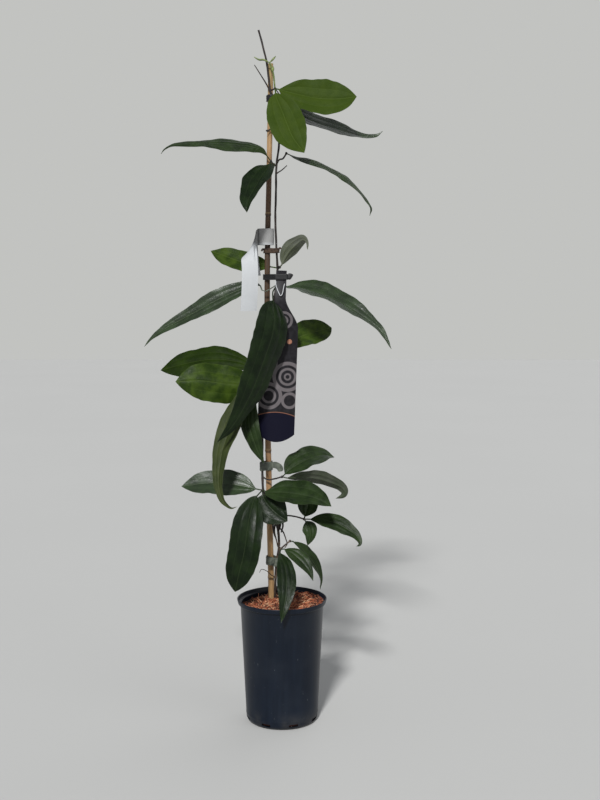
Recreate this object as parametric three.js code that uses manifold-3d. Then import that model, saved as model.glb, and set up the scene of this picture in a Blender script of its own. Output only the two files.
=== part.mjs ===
// A potted armand clematis: an evergreen climber on a bamboo cane, in a round plastic nursery pot.
// Millimetres, +Z up. The origin is the middle of the pot's underside, +X is to the right and
// -Y is towards the front.
import * as THREE from 'three';
import { mergeVertices } from 'three/addons/utils/BufferGeometryUtils.js';
import Module from 'manifold-3d';

const wasm = await Module();
wasm.setup();

// Driving dimensions
const POT_HEIGHT = 180;
const RIM_RADIUS = 65;
const LIP_HEIGHT = 7;
const LIP_BEVEL = 1.2;
const COLLAR_FOOT_RADIUS = 63.8;
const BODY_TOP_RADIUS = 60.4;
const BODY_FOOT_RADIUS = 52.2;
const FOOT_ROUND = 8;
const POT_WALL = 1.8;
const POT_FLOOR = 2.6;
const POT_SEGMENTS = 44;
const DRAIN_SLOTS = 8;
const DRAIN_WIDTH = 14;
const DRAIN_HEIGHT = 4.5;
const DRAIN_LEVEL = 6.4;
const DRAIN_FIRST_ANGLE = -115.6;
const SOIL_LEVEL = 169.5;
const SOIL_SEGMENTS = 32;
const SOIL_GAP = 0.5;
const CHIP_COUNT = 47;
const CHIP_TIP = 22;
const CHIP_LIFT = 0.6;
const CANE_FOOT_RADIUS = 4.75;
const CANE_TOP_RADIUS = 3.65;
const CANE_KNOT_HEIGHTS = [203, 392, 565, 732, 868];
const CANE_KNOT_RISE = 0.5;
const CANE_STEPS = 40;
const CANE_SIDES = 8;
const STEM_FOOT_RADIUS = 1.9;
const STEM_TOP_RADIUS = 1.3;
const STEM_STEPS = 54;
const PETIOLE_RADIUS = 1.15;
const JOINT_RADIUS = 1.8;
const HOLE_GAP = 0.45;
const STEM_HOLE_GAP = 0.7;

// A leaflet's blade, its stalk, and the gap to the joint that carries it
const BLADE = 0.8;
const STALK_WIDTH = 1.9;
const STALK_THICKNESS = 1.5;
const LEAF_GAP = 0.5;
const ROOT_SHARE = 0.6;
const TIP_WIDTH = 1.0;
const STALK_BLEND = 0.08;
const BLADE_COLUMNS = 4;
const ROW_LENGTH = 18;
const EVEN_SHARE = 0.35;
const CUP_POWER = 1.4;
const WAVE_COUNT = 2.5;
const WAVE_SHARE = 0.035;
const WAVE_OFFSET = 1.3;

// The picture label and the paper tag
const LABEL_WIDTH = 53;
const LABEL_NECK = 15;
const LABEL_TOP = 652;
const LABEL_CORNER = 419;
const LABEL_EDGE_DROP = 11;
const LABEL_SHOULDER = [38, 82];
const LABEL_THICKNESS = 0.9;
const LABEL_TILT = 2.1;
const LABEL_BACK = 4.5;
const LABEL_FRONT = -4;
const LABEL_BEND = 50;
const LABEL_BOW = 5;
const TAG_WIDTH = 23;
const TAG_THICKNESS = 0.7;
const TAG_LOOP_CENTRE = [-22.3, 20.4, 700];
const TAG_LOOP_RADII = [11.4, 8.6];
const TAG_LOOP_START = 0.25;
const TAG_LOOP_ROWS = 14;
const TAG_FRONT_END = [
  [-46, -11, 595], [-44.5, -9.5, 624], [-44, -7, 652], [-45, -3, 668], [-44.5, 6, 680],
  [-41, 15, 690], [-37, 20.5, 696],
];
const TAG_SIDE_END = [[-35.5, 13.5, 697], [-37, 9.5, 689], [-36.5, 8, 677], [-35, 8, 662], [-33, 8.5, 645]];
const TAG_FRONT_ACROSS = [1, 0.15, 0];
const TAG_SIDE_ACROSS = [0.2, 0.98, 0];
const TAG_END_ROWS = 11;
const TAG_TURN_ROWS = 4;

// The cane leans a little, and the stem winds up it. Each route is a list of places chosen by eye.
const CANE_ROUTE = [
  [-16, 30, 24], [-16, 30, 100], [-16, 30, 168], [-17.8, 29, 265], [-19.7, 28, 363], [-21.2, 27, 450],
  [-21.3, 25.6, 560], [-20.3, 24, 682], [-17.9, 22.5, 780], [-15.7, 21, 891], [-15.1, 20, 941],
];
const STEM_ROUTE = [
  [-9, 23, 116], [-10, 24, 150], [-10.7, 24, 173], [-10.4, 22, 190], [-8.6, 20, 222], [-4.8, 18, 250],
  [-5.9, 17, 276], [-13.1, 16, 298], [-23.3, 17, 320], [-27.6, 18, 338], [-28.6, 20, 364],
  [-28.4, 20.5, 401], [-28, 20, 450], [-26, 18.6, 500], [-20, 15.6, 550], [-13, 16.6, 600],
  [-7.5, 19.5, 632], [-6, 21, 655], [-7.3, 17, 682], [-8.7, 15, 723], [-7.8, 14, 765],
  [-7, 14, 800], [-3.3, 10.5, 831], [-7.5, 12, 862], [-13.1, 14, 890], [-15.2, 14.8, 901],
  [-18.6, 13.5, 926], [-20.5, 13, 942], [-26.1, 12, 965], [-31.6, 12, 985],
];
const CANE_HOLE_ROUTE = [[-16, 30, 23.5], [-16, 30, 100], [-16, 30, 168], [-16.2, 29.9, 190]];
const STEM_HOLE_ROUTE = [[-9, 23, 115.4], [-10, 24, 150], [-10.7, 24, 173], [-10.4, 22, 190]];

// Leaf stalks, from the stem to the joint where the leaflets part, and the cut and dried-off ends.
const SIDE_ROUTES = [
  { name: 'crown', route: [[-15.4, 14.6, 903], [-12, 11, 903.5], [-8.8, 9, 905]] },
  { name: 'second', route: [[-7, 14, 799], [-11, 12, 801], [-14.7, 11.5, 805]] },
  { name: 'knob', route: [[-7, 14, 801], [-3, 9, 807], [2.3, 6, 808], [7, 4, 815]] },
  { name: 'third', route: [[-6.1, 20.6, 650], [-6, 25, 654], [-5, 29, 656]] },
  { name: 'raised', route: [[-6.2, 20.5, 658], [-4.4, 18.6, 658], [-2.6, 17, 657]] },
  { name: 'fourth', route: [[-8.2, 19, 627], [-6.5, 16.5, 630], [-5, 14, 633]] },
  { name: 'fifth_left', route: [[-26.1, 18.7, 499], [-30, 21.5, 503], [-33, 24.5, 507]] },
  { name: 'fifth_middle', route: [[-22.8, 17, 527], [-15, 13, 512], [-9.5, 12, 491]] },
  { name: 'fifth_right', route: [[-20.3, 15.7, 548], [-15.5, 13.5, 545], [-11, 13.5, 539]] },
  { name: 'sixth', route: [[-24.6, 17.8, 513], [-29, 13, 514], [-34.5, 6, 511], [-37.5, 2, 503]] },
  { name: 'seventh', route: [[-27.5, 18, 337], [-28.2, 11.5, 336], [-28.5, 5, 337]] },
  { name: 'eighth', route: [[-28.2, 19.2, 354], [-20, 15.5, 350.5], [-9, 11, 353], [0.2, 8, 356]] },
  { name: 'ninth', route: [[-8.6, 16.6, 285], [3, 14.5, 297], [18, 10.5, 297.5], [32, 8, 294]] },
  { name: 'tenth', route: [[-4.9, 18, 255], [-4, 8, 254], [-2, -2, 252]] },
  { name: 'tenth_right', route: [[-2, -2, 252], [4.5, -2, 258], [11.7, 0, 263.5]] },
];
const DRY_ENDS = [
  { radius: 1.2, route: [[-15.2, 14.8, 901], [-21, 14.2, 912], [-27, 14, 921.6], [-37.5, 14, 938]] },
  { radius: 1.1, route: [[-7.2, 14, 788], [-4, 12, 790], [1, 10.5, 793], [8, 9, 799]] },
  {
    radius: 0.7,
    route: [[-9.5, 20.9, 204], [-15, 15, 209], [-23, 11, 217], [-30, 11, 219], [-33, 12, 214]],
  },
];
// The young shoot above the topmost joint.
const SHOOT_ROUTE = [[-8.9, 9, 907.4], [-11, 9.4, 925], [-16.6, 8, 941]];
const SHOOT_BUD = [-11.6, 9, 931];
const SHOOT_BUD_RADIUS = 2.0;
const SHOOT_LEAF_RADIUS = 1.05;
const SHOOT_LEAVES = [
  [[-16.6, 8, 940], [-24, 7, 943.5], [-31, 8, 944], [-38, 9, 948]],
  [[-16, 8, 940], [-12, 8, 944], [-7.6, 9, 949]],
];

// Leaflets. The rib runs from the joint to the tip; face is the way the upper side looks.
// widest is the widest place along the blade; base and tip are how full the blade is to either side.
// fold lifts the two halves (or drops them, where it is negative), in degrees.
const LEAFLETS = [
  {
    name: 'crown_leaf_upper', joint: 'crown', stalk: 4, width: 55, widest: 0.55, base: 2.4, tip: 3,
    face: [0, -0.93, 0.35], twist: 0, fold: 8,
    rib: [[6.5, 3, 900], [26, 1.5, 895], [51, 0, 890], [78, -1, 889], [105, -1, 892]],
  },
  {
    name: 'crown_leaf_middle', joint: 'crown', stalk: 7, width: 50, widest: 0.5, base: 2.6, tip: 2.7,
    face: [-0.1, -0.97, 0.2], twist: 0, fold: 8,
    rib: [[-6, -3, 889], [2, -12, 869], [9, -22, 850], [17, -32, 831], [32, -43, 810]],
  },
  {
    name: 'crown_leaf_lower', joint: 'crown', stalk: 12, width: 36, widest: 0.42, base: 2.6, tip: 1.4,
    face: [0, -0.56, 0.83], twist: -10, fold: 8,
    rib: [[14, 20, 878], [45, 30, 863], [80, 42, 854], [115, 54, 846], [135, 60, 847], [146, 62, 854]],
  },
  {
    name: 'second_leaf_left', joint: 'second', stalk: 7, width: 30, widest: 0.4, base: 3, tip: 1.4,
    face: [0, -0.5, 0.87], twist: 26, fold: -12,
    rib: [[-27, 9, 820], [-41, 7, 825], [-58, 4, 827], [-78, -2, 828], [-106, -10, 828],
      [-130, -18, 826], [-148, -26, 823], [-159, -30, 817], [-164, -32, 810]],
  },
  {
    name: 'second_leaf_right', joint: 'knob', stalk: 3, width: 26, widest: 0.35, base: 2.4, tip: 1.4,
    face: [-0.1, -0.38, 0.92], twist: -14, fold: -8,
    rib: [[21, 2, 809], [35, -3, 805], [57, -9, 797], [78, -14, 786], [95, -20, 773], [110, -27, 758],
      [121, -33, 742], [124, -35, 734], [122, -35, 726]],
  },
  {
    name: 'second_leaf_front', joint: 'second', stalk: 5, width: 46, widest: 0.38, base: 3, tip: 1.7,
    face: [-0.35, -0.85, 0.4], twist: 0, fold: 10,
    rib: [[-18, -1, 796], [-28, -14, 780], [-38, -30, 761], [-45, -43, 745], [-46, -54, 729]],
  },
  {
    name: 'third_leaf_left', joint: 'third', stalk: 10, width: 34, widest: 0.5, base: 3, tip: 2.4,
    face: [0, -0.85, 0.5], twist: 0, fold: 8,
    rib: [[-23, 36, 659], [-43, 41, 662], [-64, 48, 667], [-83, 57, 674], [-105, 68, 682]],
  },
  {
    name: 'third_leaf_raised', joint: 'raised', stalk: 3, width: 26, widest: 0.42, base: 2.4, tip: 1.5,
    face: [-0.35, 0.86, 0.35], twist: 0, fold: 12,
    rib: [[0.5, 15.5, 661], [4.5, 14, 669], [11, 11, 679], [20, 7, 688], [28, 1, 694], [33, -5, 694],
      [36, -8, 689], [37, -9, 681]],
  },
  {
    name: 'fourth_leaf_left', joint: 'fourth', stalk: 32, width: 30, widest: 0.36, base: 2.6, tip: 1.4,
    face: [-0.42, -0.22, 0.88], twist: 0, fold: 10,
    rib: [[-25, 10, 622], [-31, 12, 631], [-42, 14, 632], [-55, 15, 627], [-77, 18, 618],
      [-101, 21, 606], [-121, 24, 595], [-142, 28, 584], [-171, 32, 568], [-190, 35, 554],
      [-200, 36, 543]],
  },
  {
    name: 'fourth_leaf_right', joint: 'fourth', stalk: 12, width: 45, widest: 0.32, base: 2.6, tip: 1.35,
    face: [0.38, -0.66, 0.65], twist: 0, fold: 8,
    rib: [[9, 4, 629], [30, -5, 627], [51, -16, 621], [71, -27, 613], [90, -38, 603], [109, -48, 591],
      [124, -55, 580], [137, -59, 568], [151, -61, 544]],
  },
  {
    name: 'fourth_leaf_front', joint: 'fourth', stalk: 38, width: 56, widest: 0.32, base: 5, tip: 1.7,
    face: [0.3, -0.95, 0.1], twist: 0, fold: -22,
    rib: [[-12, 4, 623], [-12, -12, 613], [-10.5, -24, 600], [-9.5, -32, 583], [-12.5, -37, 561],
      [-20, -41, 538], [-30, -45, 510], [-41, -48, 483], [-54, -50, 458], [-69, -52, 435],
      [-89, -53, 414]],
  },
  {
    name: 'fifth_leaf_upper', joint: 'fifth_left', stalk: 5, width: 46, widest: 0.5, base: 2.2, tip: 3.2,
    face: [0, -0.85, 0.5], twist: 0, fold: -8,
    rib: [[-61, 32, 520], [-102, 40, 524], [-143, 48, 517], [-179, 54, 507]],
  },
  {
    name: 'fifth_leaf_lower', joint: 'fifth_middle', stalk: 9, width: 57, widest: 0.55, base: 2.2, tip: 3,
    face: [0, -0.97, 0.2], twist: 0, fold: -14,
    rib: [[-20, 10, 488], [-48, 2, 489], [-81, -6, 492], [-115, -14, 497], [-149, -20, 496]],
  },
  {
    name: 'fifth_leaf_right', joint: 'fifth_right', stalk: 6, width: 42, widest: 0.6, base: 2.4, tip: 3.4,
    face: [0.1, -0.85, 0.5], twist: 0, fold: 8,
    rib: [[8, 24, 548], [35, 46, 560], [73, 66, 569]],
  },
  {
    name: 'sixth_leaf_long', joint: 'sixth', stalk: 12, width: 38, widest: 0.34, base: 2.0, tip: 1.15,
    face: [-0.45, -0.85, 0.3], twist: 0, fold: 10,
    rib: [[-44, -8, 496], [-51, -13, 479], [-60, -18, 459], [-70, -22, 436], [-77, -26, 418],
      [-83, -30, 400], [-86, -34, 383], [-88, -39, 365], [-87, -42, 348], [-83, -44, 333],
      [-77, -44, 325], [-70, -43, 320], [-62, -43, 322]],
  },
  {
    name: 'sixth_leaf_short', joint: 'sixth', stalk: 20, width: 28, widest: 0.5, base: 2.0, tip: 1.7,
    face: [-0.3, -0.9, 0.1], twist: 0, fold: -14,
    rib: [[-38, -2, 490], [-44, -10, 462], [-46, -14, 436], [-40, -16, 414], [-33, -15, 395],
      [-25, -13, 379]],
  },
  {
    name: 'seventh_leaf_left', joint: 'seventh', stalk: 7, width: 42, widest: 0.45, base: 3, tip: 2.8,
    face: [0, -0.8, 0.6], twist: 0, fold: 8,
    rib: [[-46, 3, 341], [-63, 6, 344], [-87, 11, 346], [-113, 17, 345], [-147, 25, 339]],
  },
  {
    name: 'seventh_leaf_right', joint: 'seventh', stalk: 5, width: 47, widest: 0.45, base: 2.6, tip: 2.0,
    face: [0.1, -0.78, 0.62], twist: 0, fold: 8,
    rib: [[-17, -6, 336], [3, -14, 337], [26, -24, 336], [49, -36, 333], [70, -50, 324]],
  },
  {
    name: 'seventh_leaf_under', joint: 'seventh', stalk: 5, width: 46, widest: 0.4, base: 3, tip: 2.4,
    face: [-0.2, -0.95, 0.25], twist: 0, fold: 8,
    rib: [[-26, -2, 327], [-19.5, -8, 318], [-11, -13.5, 310], [-1.5, -18.5, 303], [8.5, -22, 297]],
  },
  {
    name: 'seventh_leaf_front', joint: 'seventh', stalk: 9, width: 47, widest: 0.45, base: 2.6, tip: 4,
    face: [-0.2, -0.95, 0.25], twist: 0, fold: 8,
    rib: [[-40, -5, 324], [-45, -18, 307], [-49, -29, 283], [-53, -36, 254], [-60, -38, 226],
      [-66, -35, 198]],
  },
  {
    name: 'eighth_leaf_upper', joint: 'eighth', stalk: 4, width: 43, widest: 0.45, base: 3.2, tip: 2.6,
    face: [-0.1, -0.6, 0.8], twist: 0, fold: 10,
    rib: [[12, 13, 366], [26, 21, 374], [45, 32, 381], [62, 43, 383], [77, 52, 378]],
  },
  {
    name: 'eighth_leaf_lower', joint: 'eighth', stalk: 5, width: 28, widest: 0.42, base: 2.4, tip: 1.7,
    face: [0, 0.75, 0.65], twist: 0, fold: 8,
    rib: [[9, 10, 354], [29, 18, 354], [50, 27, 351], [69, 36, 344], [85, 43, 336], [92, 46, 328],
      [90, 47, 321], [79, 47, 317]],
  },
  {
    name: 'ninth_leaf_upper', joint: 'ninth', stalk: 2, width: 30, widest: 0.4, base: 2.6, tip: 1.9,
    face: [0, -0.9, 0.4], twist: 0, fold: 8,
    rib: [[34, 10, 300], [37, 16, 310], [39, 22, 321], [40, 28, 336]],
  },
  {
    name: 'ninth_leaf_hanging', joint: 'ninth', stalk: 2, width: 22, widest: 0.36, base: 2.4, tip: 1.4,
    face: [0.1, -0.97, 0.1], twist: 0, fold: 10,
    rib: [[36, 6, 289], [40, 3, 281], [41, 0, 271], [37, -2, 257]],
  },
  {
    name: 'ninth_leaf_right', joint: 'ninth', stalk: 7, width: 27, widest: 0.42, base: 2.4, tip: 1.45,
    face: [0.1, -0.7, 0.7], twist: 0, fold: 8,
    rib: [[40, 7, 294], [58, 2, 294], [78, -6, 291], [93, -13, 284], [105, -19, 277], [111, -23, 269],
      [111, -26, 264], [106, -28, 262]],
  },
  {
    name: 'tenth_leaf_right', joint: 'tenth_right', stalk: 3, width: 22, widest: 0.4, base: 2.2, tip: 1.35,
    face: [0.3, -0.6, 0.7], twist: 0, fold: 12,
    rib: [[17, 1, 262], [27, 3, 254], [38, 7, 241], [47, 11, 228], [54, 14, 214], [57, 15, 202],
      [56, 16, 188]],
  },
  {
    name: 'tenth_leaf_middle', joint: 'tenth', stalk: 6, width: 25, widest: 0.42, base: 2.2, tip: 1.5,
    face: [0.3, -0.6, 0.7], twist: 0, fold: 12,
    rib: [[5, -8, 253], [16, -15, 248], [29, -22, 238], [39, -28, 226], [45, -32, 213]],
  },
  {
    name: 'tenth_leaf_front', joint: 'tenth', stalk: 9, width: 28, widest: 0.46, base: 2.2, tip: 1.6,
    face: [0, -0.75, 0.66], twist: 0, fold: 8,
    rib: [[-2, -16, 248], [3.5, -32, 239], [7, -48, 223], [6.7, -62, 204], [4, -73, 186], [0, -79, 166]],
  },
];

// Bands drawn round the cane and the stem, and round the label's neck. Each circle is the x, y and
// radius of what the band holds.
const BAND_GAP = 0.6;
const BANDS = [
  {
    name: 'tie_crown', low: 889, high: 897.5, thickness: 1.2, color: 0x151515, roughness: 0.7,
    circles: [[-15.7, 20.9, 3.85], [-14.2, 14.4, 2.6]],
  },
  {
    name: 'tie_wire', low: 848, high: 849.6, thickness: 1.0, color: 0x2b2622, roughness: 0.6,
    circles: [[-16.5, 21.6, 4.1], [-5.9, 11.4, 2.4]],
  },
  {
    name: 'tie_brown', low: 677, high: 684, thickness: 1.0, color: 0x4a3526, roughness: 0.8,
    circles: [[-20.3, 24, 4.4], [-7.1, 17.4, 2.6]],
  },
  {
    name: 'tie_tape_upper', low: 363, high: 376, thickness: 1.0, color: 0x5a6157, roughness: 0.7,
    circles: [[-19.8, 28, 4.6], [-28.6, 20.1, 2.2]],
  },
  {
    name: 'tie_tape_lower', low: 222, high: 235, thickness: 1.0, color: 0x5a6157, roughness: 0.7,
    circles: [[-17.2, 29.3, 5.2], [-7.6, 19.4, 3.4]],
  },
  {
    name: 'label_strap', low: 639, high: 647, thickness: 1.1, color: 0x121214, roughness: 0.5,
    circles: [[-20.7, 24.3, 4.6], [-6.4, 20.9, 2.3], [-7.6, 3.6, 1.3], [7, 3.6, 1.3]],
  },
];

const vector = (place) => new THREE.Vector3(...place);

const curveThrough = (route) => new THREE.CatmullRomCurve3(route.map(vector), false, 'catmullrom', 0.5);

const material = (color, roughness) => new THREE.MeshStandardMaterial({ color, roughness, metalness: 0 });

// A seeded draw, so that the mulch falls the same way each time.
function makeDraw(seed) {
  let state = seed;
  return () => {
    state = (state * 1664525 + 1013904223) % 4294967296;
    return state / 4294967296;
  };
}

function positionsOnly(geometry) {
  geometry.deleteAttribute('normal');
  geometry.deleteAttribute('uv');
  return mergeVertices(geometry, 1e-4);
}

// Turns a closed geometry's faces outwards, by the sign of its volume.
function facingOut(geometry) {
  const place = geometry.getAttribute('position');
  const index = geometry.getIndex();
  const corner = [new THREE.Vector3(), new THREE.Vector3(), new THREE.Vector3()];
  let volume = 0;
  for (let i = 0; i < index.count; i += 3) {
    corner.forEach((v, k) => v.fromBufferAttribute(place, index.getX(i + k)));
    volume += corner[0].dot(corner[1].clone().cross(corner[2]));
  }
  if (volume < 0) {
    for (let i = 0; i < index.count; i += 3) {
      const second = index.getX(i + 1);
      index.setX(i + 1, index.getX(i + 2));
      index.setX(i + 2, second);
    }
  }
  return geometry;
}

function toSolid(geometry) {
  const merged = positionsOnly(geometry);
  const vertProperties = new Float32Array(merged.getAttribute('position').array);
  const triVerts = new Uint32Array(merged.getIndex().array);
  return new wasm.Manifold(new wasm.Mesh({ numProp: 3, vertProperties, triVerts }));
}

function toGeometry(solid) {
  const mesh = solid.getMesh();
  const geometry = new THREE.BufferGeometry();
  geometry.setAttribute('position', new THREE.BufferAttribute(new Float32Array(mesh.vertProperties), 3));
  geometry.setIndex(Array.from(mesh.triVerts));
  return geometry;
}

// Keeps the largest shell, so that a scrap cut loose or a hollow closed in by its neighbours goes.
function largestShell(solid) {
  const geometry = toGeometry(solid);
  const index = Array.from(geometry.getIndex().array);
  const owner = Array.from({ length: geometry.getAttribute('position').count }, (_, i) => i);
  const rootOf = (i) => {
    let root = i;
    while (owner[root] !== root) root = owner[root];
    owner[i] = root;
    return root;
  };
  for (let i = 0; i < index.length; i += 3) {
    owner[rootOf(index[i + 1])] = rootOf(index[i]);
    owner[rootOf(index[i + 2])] = rootOf(index[i]);
  }
  const shells = new Map();
  for (let i = 0; i < index.length; i += 3) {
    const root = rootOf(index[i]);
    if (!shells.has(root)) shells.set(root, []);
    shells.get(root).push(index[i], index[i + 1], index[i + 2]);
  }
  const largest = [...shells.values()].reduce((best, shell) => (shell.length > best.length ? shell : best));
  geometry.setIndex(largest);
  return mergeVertices(geometry, 1e-4);
}

const joined = (solids) => solids.reduce((whole, piece) => whole.add(piece));

// A tube with closed ends: a cylinder bent along a curve, its radius given along the way from 0 to 1.
function tubeAlong(route, radiusAt, sides, steps) {
  const curve = curveThrough(route);
  const frames = curve.computeFrenetFrames(steps, false);
  const geometry = new THREE.CylinderGeometry(1, 1, 1, sides, steps);
  const place = geometry.getAttribute('position');
  for (let i = 0; i < place.count; i += 1) {
    const ring = Math.round((0.5 - place.getY(i)) * steps);
    const along = ring / steps;
    const radius = radiusAt(along);
    const point = curve.getPointAt(along)
      .addScaledVector(frames.normals[ring], place.getX(i) * radius)
      .addScaledVector(frames.binormals[ring], place.getZ(i) * radius);
    place.setXYZ(i, point.x, point.y, point.z);
  }
  return facingOut(positionsOnly(geometry));
}

// A thin closed sheet. surface(row, column) gives its middle, its upward normal and its thickness,
// and both faces are split into the same triangles.
function closedSheet(rows, columns, surface) {
  const across = columns + 1;
  const count = (rows + 1) * across;
  const place = new Float32Array(count * 6);
  for (let row = 0; row <= rows; row += 1) {
    for (let column = 0; column <= columns; column += 1) {
      const { point, normal, thickness } = surface(row, column);
      const at = (row * across + column) * 3;
      point.clone().addScaledVector(normal, thickness / 2).toArray(place, at);
      point.clone().addScaledVector(normal, -thickness / 2).toArray(place, count * 3 + at);
    }
  }
  const index = [];
  for (let row = 0; row < rows; row += 1) {
    for (let column = 0; column < columns; column += 1) {
      const a = row * across + column;
      const b = a + across;
      index.push(a, b, a + 1, b, b + 1, a + 1);
      index.push(count + a, count + a + 1, count + b, count + b, count + a + 1, count + b + 1);
    }
  }
  const rim = [];
  for (let column = 0; column < columns; column += 1) rim.push(column);
  for (let row = 0; row < rows; row += 1) rim.push(row * across + columns);
  for (let column = columns; column > 0; column -= 1) rim.push(rows * across + column);
  for (let row = rows; row > 0; row -= 1) rim.push(row * across);
  rim.forEach((here, i) => {
    const next = rim[(i + 1) % rim.length];
    index.push(here, next, count + here, next, count + next, count + here);
  });
  const geometry = new THREE.BufferGeometry();
  geometry.setAttribute('position', new THREE.BufferAttribute(place, 3));
  geometry.setIndex(index);
  return facingOut(geometry);
}

// Half of the blade's width, from its base at 0 to its tip at 1, as a share of the widest place.
function bladeOutline(along, { widest, base, tip }) {
  if (along < widest) return 1 - ((widest - along) / widest) ** base;
  return 1 - ((along - widest) / (1 - widest)) ** tip;
}

// Places along the rib: two on the stalk, then the blade's rows, closer together at both its ends.
function leafStations(length, stalk) {
  const blade = length - stalk;
  const rows = Math.max(8, Math.round(blade / ROW_LENGTH) + 3);
  const stations = [0, stalk / 2];
  for (let k = 0; k <= rows; k += 1) {
    const even = k / rows;
    const bunched = 0.5 - 0.5 * Math.cos(Math.PI * even);
    stations.push(stalk + blade * THREE.MathUtils.lerp(bunched, even, EVEN_SHARE));
  }
  return stations;
}

// One leaflet: its stalk, and a folded blade with a waved edge, laid along the rib.
function leaflet(spec, joints) {
  const joint = joints[spec.joint];
  const root = vector(spec.rib[0]).sub(joint).setLength(JOINT_RADIUS + LEAF_GAP).add(joint);
  const curve = curveThrough([root.toArray(), ...spec.rib]);
  const length = curve.getLength();
  const stations = leafStations(length, spec.stalk);
  const fold = THREE.MathUtils.degToRad(spec.fold);
  const twist = THREE.MathUtils.degToRad(spec.twist);
  const sections = [];
  let normal = vector(spec.face);
  stations.forEach((distance) => {
    const tangent = curve.getTangentAt(distance / length);
    normal = normal.clone().addScaledVector(tangent, -normal.dot(tangent)).normalize();
    const up = normal.clone().applyAxisAngle(tangent, (twist * distance) / length);
    const side = tangent.clone().cross(up);
    const along = Math.max(0, (distance - spec.stalk) / (length - spec.stalk));
    const outline = bladeOutline(Math.min(along, 1), spec);
    const least = along > 0.5 ? TIP_WIDTH : STALK_WIDTH;
    const rootShare = distance === 0 ? ROOT_SHARE : 1;
    const half = Math.max((spec.width * outline) / 2, least / 2) * rootShare;
    const open = Math.min(1, along / STALK_BLEND);
    const thickness = THREE.MathUtils.lerp(STALK_THICKNESS, BLADE, open) * rootShare;
    const middle = curve.getPointAt(distance / length);
    sections.push({ middle, up, side, half, along, open, thickness });
  });
  return closedSheet(stations.length - 1, BLADE_COLUMNS, (row, column) => {
    const { middle, up, side, half, along, open, thickness } = sections[row];
    const share = (2 * column) / BLADE_COLUMNS - 1;
    const reach = Math.abs(share);
    const phase = 2 * Math.PI * WAVE_COUNT * along + WAVE_OFFSET * Math.sign(share);
    const wave = WAVE_SHARE * Math.sin(phase) * 4 * along * (1 - along);
    const lift = half * (Math.sin(fold) * reach ** CUP_POWER + 2 * wave * reach ** 2);
    const point = middle.clone()
      .addScaledVector(side, share * half * Math.cos(fold * open))
      .addScaledVector(up, lift * open);
    return { point, normal: up, thickness };
  });
}

// The pot: a lathed wall that steps out to a thin collar, a rounded foot, and slots for draining.
const wallRadius = (height) => THREE.MathUtils.mapLinear(
  height, FOOT_ROUND, POT_HEIGHT - LIP_HEIGHT, BODY_FOOT_RADIUS, BODY_TOP_RADIUS);

function footArc(radius, round, level, steps) {
  const arc = [];
  for (let i = 0; i <= steps; i += 1) {
    const angle = (Math.PI / 2) * (i / steps);
    arc.push([radius - round + round * Math.sin(angle), level + round - round * Math.cos(angle)]);
  }
  return arc;
}

function lathed(profile, segments) {
  const lathe = new THREE.LatheGeometry(profile.map(([r, z]) => new THREE.Vector2(r, z)), segments);
  return lathe.rotateX(Math.PI / 2);
}

function pot() {
  const lipFoot = POT_HEIGHT - LIP_HEIGHT;
  const outer = footArc(BODY_FOOT_RADIUS, FOOT_ROUND, 0, 4);
  const inner = footArc(BODY_FOOT_RADIUS - POT_WALL, FOOT_ROUND - POT_WALL, POT_FLOOR, 3).reverse();
  const lip = [
    [BODY_TOP_RADIUS, lipFoot - LIP_BEVEL],
    [COLLAR_FOOT_RADIUS - LIP_BEVEL, lipFoot],
    [COLLAR_FOOT_RADIUS, lipFoot + LIP_BEVEL],
    [RIM_RADIUS, POT_HEIGHT - LIP_BEVEL],
    [RIM_RADIUS - LIP_BEVEL / 2, POT_HEIGHT],
    [RIM_RADIUS - POT_WALL, POT_HEIGHT],
    [COLLAR_FOOT_RADIUS - POT_WALL, lipFoot + POT_WALL],
    [BODY_TOP_RADIUS - POT_WALL, lipFoot + POT_WALL - LIP_BEVEL],
  ];
  const wall = lathed([[0, 0], ...outer, ...lip, ...inner, [0, POT_FLOOR]], POT_SEGMENTS);
  let body = toSolid(facingOut(positionsOnly(wall)));
  for (let i = 0; i < DRAIN_SLOTS; i += 1) {
    const slot = new THREE.BoxGeometry(FOOT_ROUND, DRAIN_WIDTH, DRAIN_HEIGHT);
    slot.translate(BODY_FOOT_RADIUS, 0, DRAIN_LEVEL);
    slot.rotateZ(THREE.MathUtils.degToRad(DRAIN_FIRST_ANGLE + (360 / DRAIN_SLOTS) * i));
    body = body.subtract(toSolid(slot));
  }
  return toGeometry(body);
}

// The growing medium fills the pot. Its top is uneven and higher on the right, and bark chips cover it.
const soilHeight = (x, y) => SOIL_LEVEL + 0.035 * x + 0.015 * y
  + 0.9 * Math.sin(x / 8.5 + 1) * Math.cos(y / 10.5) + 0.5 * Math.sin(x / 4.3 + y / 5.1);

const soilEdge = wallRadius(SOIL_LEVEL) - POT_WALL - SOIL_GAP - 0.2;

function soilSolid(topAt) {
  const base = POT_FLOOR + SOIL_GAP;
  const foot = footArc(BODY_FOOT_RADIUS - POT_WALL - SOIL_GAP, FOOT_ROUND - POT_WALL, base, 3);
  const rings = [1, 0.8, 0.6, 0.4, 0.2, 0].map((share) => [soilEdge * share, SOIL_LEVEL]);
  const lathe = lathed([[0, base], ...foot, ...rings], SOIL_SEGMENTS);
  const place = lathe.getAttribute('position');
  for (let i = 0; i < place.count; i += 1) {
    if (place.getZ(i) > SOIL_LEVEL - 1) place.setZ(i, topAt(place.getX(i), place.getY(i)));
  }
  return toSolid(facingOut(positionsOnly(lathe)));
}

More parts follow.
